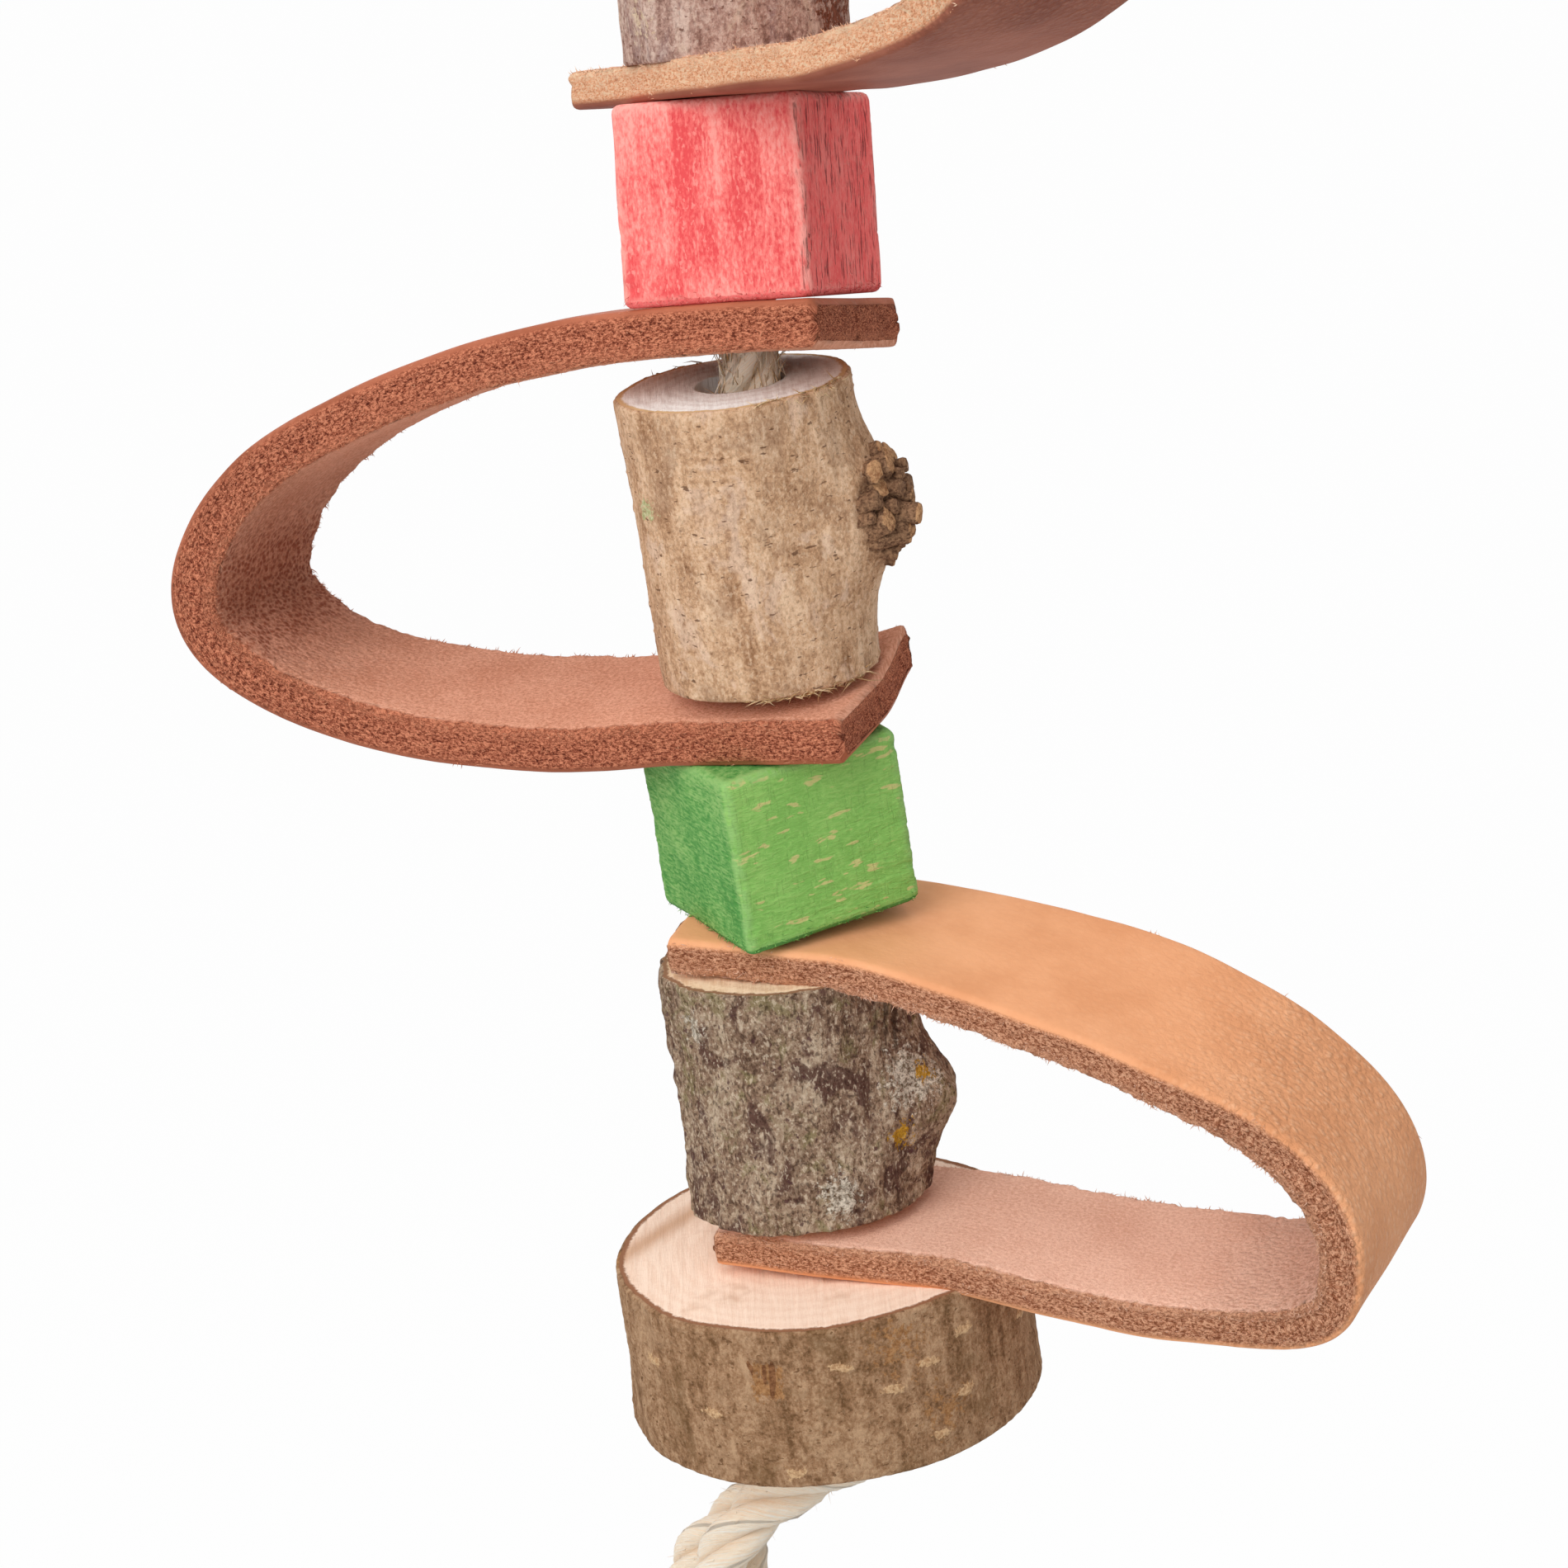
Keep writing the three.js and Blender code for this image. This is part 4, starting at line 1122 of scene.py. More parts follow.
def cube_outline(side_step):
    """Points round a square with rounded corners: its four sides and quarter circles, one after another."""
    flat = CUBE_HALF - CUBE_EDGE
    run = np.linspace(-flat, flat, int(2 * flat / side_step))
    arc = np.linspace(0, math.pi / 2, 6)[1:-1]
    right = np.stack([np.full(len(run), CUBE_HALF), run], axis=-1)
    corner = flat + CUBE_EDGE * np.stack([np.cos(arc), np.sin(arc)], axis=-1)
    quarter = np.concatenate([right, corner])
    turned = []
    for k in range(4):
        c, s = math.cos(k * math.pi / 2), math.sin(k * math.pi / 2)
        turned.append(quarter @ np.array([[c, s], [-s, c]]))
    return np.concatenate(turned)


def cube_piece(name, spin, finish, slot, stain_and_light_side, seed, ridges):
    """A drilled cube with softened edges, chips along them, and grain that stands up a little."""
    ring = cube_outline(CUBE_STEP)

    def outline(turns, heights):
        """The ring at each height, with its grain and chips. It needs no angles."""
        edge = np.broadcast_to(ring[None], (heights.shape[0], *ring.shape)).copy()
        skin = np.concatenate([edge, np.broadcast_to(heights[..., None], (*edge.shape[:2], 1))], axis=-1)
        grain = 0.05 * layers(skin, ridges, seed, 3) + 0.08 * layers(skin, (5, 5, 6), seed + 5, 2)
        corner = np.max(np.abs(edge), axis=-1) + np.min(np.abs(edge), axis=-1)
        close = ease(CUBE_SIDE - 2.4, CUBE_SIDE - 0.6, corner)
        chips = close * 0.16 * ease(0.1, 0.7, layers(skin, (0.9, 0.9, 1.6), seed + 9, 3))
        return edge * (1 + (grain - chips)[..., None] / CUBE_HALF)

    turns = np.zeros(len(ring))
    bore = BORE_DIAMETER / 2
    points, _ = drilled_block(outline, bore, CUBE_HALF, CUBE_EDGE, CUBE_STEP, CUBE_FACE_ROWS, turns)
    size = np.sort(np.abs(points) / CUBE_HALF, axis=-1)
    wear = ease(0.86, 0.98, size[..., 1])
    # The face with its own tone, which is partly stain and partly painted light and shade.
    c, s = math.cos(math.radians(stain_and_light_side)), math.sin(math.radians(stain_and_light_side))
    quarter = ease(0.93, 0.98, (points[..., 0] * c + points[..., 1] * s) / CUBE_HALF)
    # A narrow band along the lower rim, which the stain makes darker.
    lower_rim_band = ease(-0.88, -0.97, points[..., 2] / CUBE_HALF) * ease(0.9, 0.95, size[..., 2])
    lower_rim_band = lower_rim_band * ease(0.88, 0.93, np.max(np.abs(points[..., :2]), axis=-1) / CUBE_HALF)
    faces = grid_faces(*points.shape[:2], rows_meet=True)
    placed = seat(points, name, CUBE_SIDE, spin)
    values = {"local": points, "wear": wear, "quarter": quarter, "lower_rim_band": lower_rim_band}
    piece(name + "_wood", placed, faces, name, slot, finish, name, **values)


def cube_fuzz(name, spin, slot, finish, seed):
    """Torn grain along a cube's lower rim: short fibres that stand off its four sides and hang a little."""
    draw = np.random.default_rng(seed)
    place = draw.uniform(-0.93, 0.93, CUBE_FIBRES) * CUBE_HALF
    quarter = draw.integers(0, 4, CUBE_FIBRES) * math.pi / 2
    out_way, along = level_ways(quarter)
    inset = draw.uniform(0.2, 0.4, (CUBE_FIBRES, 1))
    rise = draw.gamma(1.2, 0.3, (CUBE_FIBRES, 1))
    roots = out_way * (CUBE_HALF - inset) + along * place[:, None] - UP * (CUBE_HALF - inset - rise)
    roots = roots + out_way * np.minimum(rise, inset)
    leans = out_way * draw.uniform(0.15, 0.8, (CUBE_FIBRES, 1))
    leans = leans - UP * draw.uniform(-0.1, 0.6, (CUBE_FIBRES, 1))
    leans = leans + along * draw.normal(0, 0.7, (CUBE_FIBRES, 1))
    lengths = np.minimum(draw.gamma(2.0, 0.13, CUBE_FIBRES) + 0.15, 0.9)
    _, turn = upright(name + "_spin", spin)
    placed = seat(roots, name, CUBE_SIDE, spin)
    fibres(name + "_fuzz", placed, leans @ turn.T, lengths, 0.05, name, slot, finish, seed + 1)


def make_cubes():
    """Both cubes with their stain and the torn fibres on their lower rims."""
    red = stain_finish(
        name="red_stain",
        tones=(rgb(230, 80, 82), rgb(248, 124, 118), rgb(255, 162, 152)),
        worn=rgb(255, 176, 164),
        crack=rgb(140, 40, 44),
        fleck=rgb(240, 150, 136),
        side_stain_and_light=rgb(255, 106, 102),
        lower_rim_band=rgb(240, 100, 100),
        streaks=0.32,
        cracks_share=0.75,
        fleck_share=0.2,
        grains=((1.3, 1.3, 22), (0.32, 0.32, 0.75)),
    )
    cube_piece("cube_red", RED_SPIN, red, "red_stain", 0, 51, (0.5, 0.5, 9))
    fuzz = fibre_finish("red_fuzz", rgb(214, 76, 76), rgb(255, 168, 156))
    cube_fuzz("cube_red", RED_SPIN, "red_stain", fuzz, 57)
    green = stain_finish(
        name="green_stain",
        tones=(rgb(76, 144, 66), rgb(108, 166, 86), rgb(142, 188, 108)),
        worn=rgb(146, 190, 114),
        crack=rgb(84, 132, 62),
        fleck=rgb(206, 196, 130),
        side_stain_and_light=rgb(154, 206, 102),
        lower_rim_band=rgb(52, 128, 56),
        streaks=0.14,
        cracks_share=0.08,
        fleck_share=0.8,
        grains=((12, 12, 1.1), (1.1, 1.1, 0.3)),
    )
    cube_piece("cube_green", GREEN_SPIN, green, "green_stain", -90, 61, (6, 6, 0.5))
    fuzz = fibre_finish("green_fuzz", rgb(64, 132, 56), rgb(152, 204, 112))
    cube_fuzz("cube_green", GREEN_SPIN, "green_stain", fuzz, 67)


# Leather loops


def bezier(a, b, c, d, count):
    """Points on the cubic curve of four control points."""
    t = np.linspace(0, 1, count)[:, None]
    return a * (1 - t) ** 3 + 3 * b * t * (1 - t) ** 2 + 3 * c * t * t * (1 - t) + d * t**3


def loop_holes(loop):
    """The middles of the upper and the lower layer's hole: half the span each way along the turn joint's
    axis, and as far as each layer settles on its neighbour."""
    joint = JOINTS[loop["name"] + "_turn"]
    middle = np.array(joint["pos_m"]) / MM
    axis = unit(np.array(joint["axis"]))
    axis = axis * np.sign(axis[2])
    upper_settle, lower_settle = loop["settle"]
    half = loop["span"] / 2
    return middle + axis * (half + upper_settle), middle - axis * (half - lower_settle)


def loop_way(loop):
    """The level direction in which a loop bulges."""
    heading = math.radians(loop["heading"])
    return np.array([math.cos(heading), math.sin(heading), 0])


def loop_line(loop, step):
    """The loop's middle line at even steps: straight over the upper hole, two curves that meet at the crest,
    and straight over the lower hole, all softened by a moving average. Also the lengths along it, and those
    where these runs end."""
    upper, lower = loop_holes(loop)
    out_way = loop_way(loop)

    def place(out, height):
        """A place so far out from the line through both holes, at a height."""
        return lower + (upper - lower) * (height - lower[2]) / (upper[2] - lower[2]) + out_way * out

    def along(hole, layer, out):
        """A place so far out on a layer's straight slope."""
        return place(out, hole[2] + out * math.tan(math.radians(layer["slope"])))

    def past(hole, layer):
        """The control point past a layer's straight run, let down by its droop."""
        slope = math.radians(layer["slope"])
        fall = layer["handle"] * (math.tan(slope) - math.tan(slope - math.radians(layer["droop"])))
        return along(hole, layer, layer["straight"] + layer["handle"]) - UP * fall

    bend = loop["bend"]
    crest_z = lower[2] + bend["crest"]
    crest = place(loop["reach"], crest_z)
    start = along(upper, loop["upper"], loop["upper"]["straight"])
    end = along(lower, loop["lower"], loop["lower"]["straight"])
    over = place(loop["reach"], crest_z + bend["upper_handle"])
    under = place(loop["reach"], crest_z - bend["lower_handle"])
    runs = [
        np.linspace(along(upper, loop["upper"], -loop["upper"]["tail"]), start, 60),
        bezier(start, past(upper, loop["upper"]), over, crest, 200),
        bezier(crest, under, past(lower, loop["lower"]), end, 200),
        np.linspace(end, along(lower, loop["lower"], -loop["lower"]["tail"]), 60),
    ]
    points = np.concatenate([runs[0]] + [run[1:] for run in runs[1:]])
    lengths = arc_lengths(points)
    ends = lengths[np.cumsum([len(runs[0]) - 1] + [len(run) - 1 for run in runs[1:]])]
    even = np.linspace(0, lengths[-1], int(lengths[-1] / step) + 1)
    line = places_at(even, lengths, points)
    half = int(LINE_SOFTENING / 2 / step)
    window = np.hanning(2 * half + 3)[1:-1]
    wider = np.pad(line, ((half, half), (0, 0)), mode="reflect", reflect_type="odd")
    soft = [np.convolve(wider[:, k], window / window.sum(), mode="valid") for k in range(3)]
    return np.stack(soft, axis=-1), even, ends


def cants(loop, even, ends):
    """The strap's lean about its own line, in radians: the upper layer's, eased to the bend's and on to the
    lower layer's, with each layer's lift as half a wave between."""
    upper, lower, twist = loop["upper"], loop["lower"], loop["bend"]["twist"]
    first = ease(upper["lean_from"] * ends[0], ends[1], even)
    second = ease(ends[1], ends[2], even)
    before = upper["cant"] + (twist - upper["cant"]) * first + upper["lift"] * np.sin(math.pi * first)
    after = twist + (-lower["cant"] - twist) * second - lower["lift"] * np.sin(math.pi * second)
    return np.radians(np.where(even < ends[1], before, after))


def strap_section(thickness):
    """Places round a rounded rectangle, across the strap and out of its outer face."""
    flat = STRAP_HALF - STRAP_CORNER
    tall = thickness / 2 - STRAP_CORNER
    run = np.linspace(-flat, flat, 26)
    rise = np.linspace(tall, -tall, 9)
    arc = np.linspace(0, math.pi / 2, 5)[1:-1]
    bow = STRAP_CORNER * np.stack([np.sin(arc), np.cos(arc)], axis=-1)
    top = np.stack([run, np.full(len(run), thickness / 2)], axis=-1)
    far = np.stack([np.full(len(rise), STRAP_HALF), rise], axis=-1)
    over = np.array([flat, tall]) + bow
    under = np.array([flat, -tall]) + np.stack([bow[::-1, 0], -bow[::-1, 1]], axis=-1)
    half = np.concatenate([top, over, far, under])
    return np.concatenate([half, -half])


def strap_frame(loop):
    """A strap's middle line, the lengths along it and those where its runs end, and the directions along the
    line, across the strap and out of its outer face, leaned over by the cant."""
    line, even, ends = loop_line(loop, STRAP_STEP)
    tangent = unit(np.gradient(line, axis=0))
    out_way = loop_way(loop)
    side = np.sign(out_way[0])
    flat_across = np.array([-out_way[1], out_way[0], 0]) * side
    outside = unit(np.cross(tangent, flat_across) * side)
    cant = cants(loop, even, ends)[:, None]
    across = flat_across * np.cos(cant) + outside * np.sin(cant)
    outside = outside * np.cos(cant) - flat_across * np.sin(cant)
    return line, even, ends, tangent, across, outside


def bend_share(tangent, even):
    """How sharply a strap bends along its line, softened by a moving average: 0 where straight, up to 1."""
    turned = np.linalg.norm(np.gradient(tangent, axis=0), axis=1) / (even[1] - even[0])
    window = np.hanning(BEND_WINDOW)
    wider = np.pad(turned, BEND_WINDOW // 2, mode="edge")
    turned = np.convolve(wider, window / window.sum(), mode="valid")
    return np.clip(turned * FULL_BEND_RADIUS, 0, 1)


def pulled_middle(loop, line, even, ends, wide):
    """The line of each column before it is set off: both edges pulled down and the near one pulled in, by a
    quarter wave that grows up to the crest and fades after it."""
    near_down, far_down, near_in = loop["pull"]
    far_share = (0.5 + wide / STRAP_WIDTH)[None, :]
    run = np.clip((even - ends[0]) / (ends[2] - ends[0]), 0, 1)
    crest = (ends[1] - ends[0]) / (ends[2] - ends[0])
    rising = np.sin(0.5 * math.pi * run / crest)
    pulled = np.where(run < crest, rising, ease(crest + PULL_FADE, crest, run))[:, None]
    down = pulled * (near_down + (far_down - near_down) * far_share)
    inward = pulled**2 * near_in * (1 - far_share)
    return line[:, None, :] - UP * down[..., None] - loop_way(loop) * inward[..., None]


def strap(loop, finish, slot, fuzz, seed, curl=0.0):
    """A strap carried along the loop's line. Its cut edges are ragged, its inner face puckers where it bends,
    a dimple marks each punched hole, and both ends are rounded over and closed by rows that shrink to a
    line."""
    line, even, ends, tangent, across, outside = strap_frame(loop)
    thickness = loop["thickness"]
    wide, high = strap_section(thickness).T
    middle = pulled_middle(loop, line, even, ends, wide)
    bend = bend_share(tangent, even)[:, None] * np.ones(len(wide))
    first, last = np.zeros(len(END_ROWS), int), np.full(len(END_ROWS), len(even) - 1)
    rows = np.concatenate([first, np.arange(len(even)), last])
    middle, bend, tangent, across, outside = (part[rows] for part in (middle, bend, tangent, across, outside))
    run = even[rows]
    close = np.concatenate([1 - END_ROWS[::-1], np.ones(len(even)), 1 - END_ROWS])[:, None]
    skin = together(run[:, None], wide, high * close)
    at_end = np.abs(close - 1)
    on_edge = np.where(np.abs(wide) > STRAP_HALF - 0.4, 1.0, 0.0)
    on_edge = on_edge * ease(thickness / 2 - 0.4, thickness / 2 - 0.9, high)
    level = high / (thickness / 2) * close
    edge = np.maximum(on_edge, np.where(at_end > 0, 1.0, 0.0))
    flesh = np.broadcast_to(ease(0.2, -0.6, high), skin.shape[:2])
    fray = 0.02 + 0.11 * ease(0.6, 0.2, level) + 0.19 * ease(0.2, -0.8, level)
    ragged = fray * layers(skin, (0.8, 0.5, 0.5), seed, 3) + 0.2 * layers(skin, (7, 9, 9), seed + 4, 2)
    rounded = np.clip(STRAP_CORNER - np.minimum(run, even[-1] - run), 0, STRAP_CORNER)
    shrink = (STRAP_CORNER - np.sqrt(STRAP_CORNER**2 - rounded**2))[:, None]
    outer_share = ease(STRAP_HALF - 2.8, STRAP_HALF - 0.6, np.abs(wide))
    spread = np.sign(wide) * np.maximum(np.abs(wide) - shrink, 0) + np.sign(wide) * outer_share * ragged
    nap = 0.05 * layers(skin, (0.5, 0.5, 1), seed + 8, 2) * flesh
    pucker = bend * flesh * (0.45 * pebbles(skin, (2.6, 2.2, 9), seed + 6) - SWELL)
    wave = 0.18 * layers(skin, (11, 11, 11), seed + 2, 2)
    lift = np.sign(high) * np.maximum(np.abs(high) - shrink, 0) * close + wave + (pucker - nap) * close
    for hole in (loop["upper"]["tail"], even[-1] - loop["lower"]["tail"]):
        away = np.hypot(run[:, None] - hole, wide)
        lift -= np.sign(high) * HOLE_DIMPLE * ease(PUNCH_RADIUS + 0.6, PUNCH_RADIUS - 0.6, away)
    corner = ease(12, 0, even[-1] - run)[:, None] * ease(0, STRAP_HALF, wide)
    lift = lift - curl * corner**1.5
    points = middle + across[:, None, :] * spread[..., None] + outside[:, None, :] * lift[..., None]
    jag = 0.25 * layers(skin, (9, 0.8, 1), seed + 3, 3) * (at_end > 0)
    direction = np.where(np.arange(len(rows)) < len(rows) / 2, -1, 1)[:, None]
    points += tangent[:, None, :] * (jag * direction)[..., None]
    face_on = at_end > 0.005
    skin[..., 0] = np.where(face_on, END_SKIN + lift, skin[..., 0])
    skin[..., 1] = np.where(face_on, spread, skin[..., 1])
    name = loop["name"]
    faces = grid_faces(*points.shape[:2])
    values = {"skin": skin, "edge": edge, "flesh": flesh, "level": level, "bend": bend}
    piece(name + "_hide", points, faces, name, slot, finish, name, weld=True, **values)
    strap_fuzz(name, slot, fuzz, points, across, outside, tangent, wide, high, seed)


def strap_fuzz(name, slot, fuzz, points, across, outside, tangent, wide, high, seed):
    """Fibres that stand off the cut edges in small clumps, more of them along the inner corner."""
    draw = np.random.default_rng(seed)
    edge_columns = np.flatnonzero(np.abs(wide) > STRAP_HALF - 0.25)
    inner_columns = edge_columns[high[edge_columns] < -0.9]
    clump = [draw.choice(edge_columns, EDGE_CLUMPS), draw.choice(inner_columns, INNER_CLUMPS)]
    clump = np.concatenate(clump)
    clump_row = draw.integers(8, len(points) - 8, len(clump))
    lean_along = draw.normal(0, 0.9, len(clump))
    lean_out = draw.normal(-0.35, 0.5, len(clump))
    pick = draw.integers(0, len(clump), STRAP_FIBRES)
    columns = clump[pick]
    rows = np.clip(clump_row[pick] + draw.integers(-2, 3, len(pick)), 6, len(points) - 7)
    roots = points[rows, columns] - across[rows] * np.sign(wide[columns])[:, None] * 0.08
    away = across[rows] * np.sign(wide[columns])[:, None] * draw.uniform(0.15, 0.7, (len(rows), 1))
    lean = away + outside[rows] * (lean_out[pick] + draw.normal(0, 0.35, len(rows)))[:, None]
    lean += tangent[rows] * (lean_along[pick] + draw.normal(0, 0.4, len(rows)))[:, None]
    lengths = np.minimum(draw.gamma(2.0, 0.13, len(rows)) + 0.15, 0.9)
    fibres(name + "_fuzz", roots, lean, lengths, 0.06, name, slot, fuzz, seed + 1)


def make_loops():
    """The three straps, each with its own leather."""
    # The third flesh tone of each leather is painted shade in the folds of its inner face where it bends.
    # The third grain tone of each leather is a painted highlight on the pebble tops where the strap bends.
    peach = leather_finish(
        name="leather_peach",
        grain_tones=(rgb(140, 80, 62), rgb(160, 98, 78), rgb(178, 116, 92)),
        flesh_tones=(rgb(222, 162, 130), rgb(246, 192, 160), rgb(206, 146, 116)),
        edge_tones=(rgb(214, 140, 100), rgb(255, 184, 140), rgb(255, 220, 184), rgb(240, 152, 108)),
        band_from=0.5,
        soft_share=0.7,
    )
    fuzz = fibre_finish("peach_fuzz", rgb(236, 172, 132), rgb(255, 220, 190))
    strap(TOP_LOOP, peach, "leather_peach", fuzz, 81)
    brown = leather_finish(
        name="leather_brown",
        grain_tones=(rgb(160, 90, 64), rgb(182, 108, 80), rgb(196, 124, 94)),
        flesh_tones=(rgb(204, 136, 106), rgb(236, 174, 146), rgb(156, 84, 60)),
        edge_tones=(rgb(90, 38, 28), rgb(176, 94, 68), rgb(236, 154, 118), rgb(186, 100, 70)),
        band_from=0.95,
        soft_share=0.4,
    )
    fuzz = fibre_finish("brown_fuzz", rgb(184, 106, 76), rgb(236, 170, 134))
    strap(MIDDLE_LOOP, brown, "leather_brown", fuzz, 85, 2.0)
    tan = leather_finish(
        name="leather_tan",
        grain_tones=(rgb(228, 158, 112), rgb(240, 172, 126), rgb(250, 198, 158)),
        flesh_tones=(rgb(232, 176, 150), rgb(253, 206, 182), rgb(212, 156, 130)),
        edge_tones=(rgb(122, 66, 44), rgb(190, 122, 88), rgb(242, 184, 148), rgb(226, 150, 112)),
        band_from=0.8,
        soft_share=0.5,
    )
    fuzz = fibre_finish("tan_fuzz", rgb(214, 152, 118), rgb(250, 208, 180))
    strap(LOWER_LOOP, tan, "leather_tan", fuzz, 89)


# Rope


def smooth_line(points, step):
    """A curve through all the points at even steps, and the lengths along it: centripetal Catmull-Rom, whose
    knots are the square roots of the gaps, on each stretch between two points."""
    points = np.asarray(points, float)
    padded = np.concatenate([[2 * points[0] - points[1]], points, [2 * points[-1] - points[-2]]])
    t = np.linspace(0, 1, 24, endpoint=False)[None, :, None]
    p = [padded[k : len(padded) - 3 + k][:, None, :] for k in range(4)]
    gaps = [np.sqrt(np.linalg.norm(p[k + 1] - p[k], axis=-1, keepdims=True)) for k in range(3)]
    knots = [0 * gaps[0], gaps[0], gaps[0] + gaps[1], gaps[0] + gaps[1] + gaps[2]]
    at = knots[1] + (knots[2] - knots[1]) * t

    def blend(a, b, low, high):
        """Passes from one point at the low knot to another at the high knot."""
        return (a * (high - at) + b * (at - low)) / (high - low)

    one = [blend(p[k], p[k + 1], knots[k], knots[k + 1]) for k in range(3)]
    two = [blend(one[k], one[k + 1], knots[k], knots[k + 2]) for k in range(2)]
    dense = blend(two[0], two[1], knots[1], knots[2]).reshape(-1, 3)
    dense = np.concatenate([dense, points[-1:]])
    lengths = arc_lengths(dense)
    even = np.linspace(0, lengths[-1], int(lengths[-1] / step) + 1)
    return places_at(even, lengths, dense), even


def rope_points():
    """The rope's route: the knot under the slice, up through every piece, the eye on the link, the wraps."""
    middle, turn = upright("log_slice_spin")
    bottom = middle - turn[:, 2] * LOG_SLICE["length"] / 2
    points = [bottom + np.array(point) for point in KNOT_POINTS]
    points += [bottom, middle]
    for loop, beads in (
        (LOWER_LOOP, ["branch_lower", "cube_green"]),
        (MIDDLE_LOOP, ["branch_middle", "cube_red"]),
        (TOP_LOOP, ["branch_top"]),
    ):
        upper, lower = loop_holes(loop)
        inside, *above = [upright(bead + "_spin")[0] for bead in beads]
        points += [lower, inside, upper, *above]
    points += [np.array([0, BALANCE, z]) for z in np.linspace(WRAP_BOTTOM_Z, WRAP_TOP_Z, 3)]
    rise = LINK_WIRE_Z - WRAP_TOP_Z
    for share in (0.35, 0.7):
        y = BALANCE + (-EYE_RADIUS - BALANCE) * ease(0, 1, share)
        points.append(np.array([0, y, WRAP_TOP_Z + share * rise]))
    for angle in np.radians(np.arange(180, -1, -30)):
        points.append(np.array([0, EYE_RADIUS * math.cos(angle), LINK_WIRE_Z + EYE_RADIUS * math.sin(angle)]))
    for wrap in np.arange(0, WRAP_TURNS + 0.01, 1 / 12):
        angle = TURN * (wrap + 0.25)
        x, y = WRAP_RADIUS * math.cos(angle), BALANCE + WRAP_RADIUS * math.sin(angle)
        points.append(np.array([x, y, WRAP_TOP_Z - wrap * WRAP_PITCH]))
    return points + [points[-1] + unit(points[-1] - points[-2]) * WRAP_END]


def carried_frame(line):
    """Tangent and two side directions along a line, carried from step to step without twist."""
    tangent = unit(np.gradient(line, axis=0))
    side = np.empty_like(line)
    side[0] = unit(np.cross(tangent[0], [0.3, 0.9, 0.2]))
    for k in range(1, len(line)):
        side[k] = side[k - 1] - tangent[k] * (side[k - 1] @ tangent[k])
        side[k] /= np.linalg.norm(side[k])
    return tangent, side, np.cross(tangent, side)


def rope_strand(strand, line, even, tangent, side, other):
    """One strand, a screw about the route: a round tube with yarn ridges, whose ends shrink to a point inside
    the brush of fibres. Also the lengths along and round it, and how deep in the rope each place is, which
    the rope's material darkens as painted shade between the strands."""
    ring = ring_of(STRAND_SIDES)
    thick = ROPE_DIAMETER / 2 * STRAND_SHARE
    taper = np.minimum(ease(-0.1, 2.0, even), ease(-0.1, 2.0, even[-1] - even))
    taper[[0, -1]] = 0
    slack = 1 + 0.5 * ease(14, 0, even)
    loose = 1 + 0.06 * noise(together(even, strand * 9.0, 0.0), 6, 91)
    lay = TURN * (strand / STRANDS + even / ROPE_LAY)
    heading = side * np.cos(lay)[:, None] + other * np.sin(lay)[:, None]
    cross = np.cross(tangent, heading)
    centre = line + heading * ((ROPE_DIAMETER / 2 - thick) * slack * loose)[:, None]
    yarn = 1 + 0.05 * np.cos(7 * (ring + even[:, None] * 0.9))
    grit = together(even[:, None], ring * thick, strand * 7.0)
    radius = thick * yarn * taper[:, None] * (1 + 0.05 * layers(grit, (1.5, 0.6, 1), 93, 2))
    lengths = together(even[:, None], (ring - even[:, None] * 0.25) * thick, strand * 5.0)
    # The share of painted shade between the strands, on the side of each strand that faces the others.
    hollow_shade = np.broadcast_to(ease(0.55, -0.3, np.cos(ring)), radius.shape)
    return tube(centre, heading, cross, ring, radius), lengths, hollow_shade


def make_rope():
    """The three strands, laid round the route with one lay, and the rope's loose fibres."""
    line, even = smooth_line(rope_points(), ROPE_STEP)
    frame = carried_frame(line)
    strands = [rope_strand(strand, line, even, *frame) for strand in range(STRANDS)]
    points, lengths, hollows = (np.stack(part) for part in zip(*strands))
    faces = all_shells(points, grid_faces(len(even), STRAND_SIDES))
    values = {"lay": lengths, "hollow_shade": hollows}
    piece("rope_strands", points, faces, "rope", "rope", rope_finish(), "rope", weld=True, **values)
    rope_fibres(points, line, frame[0])


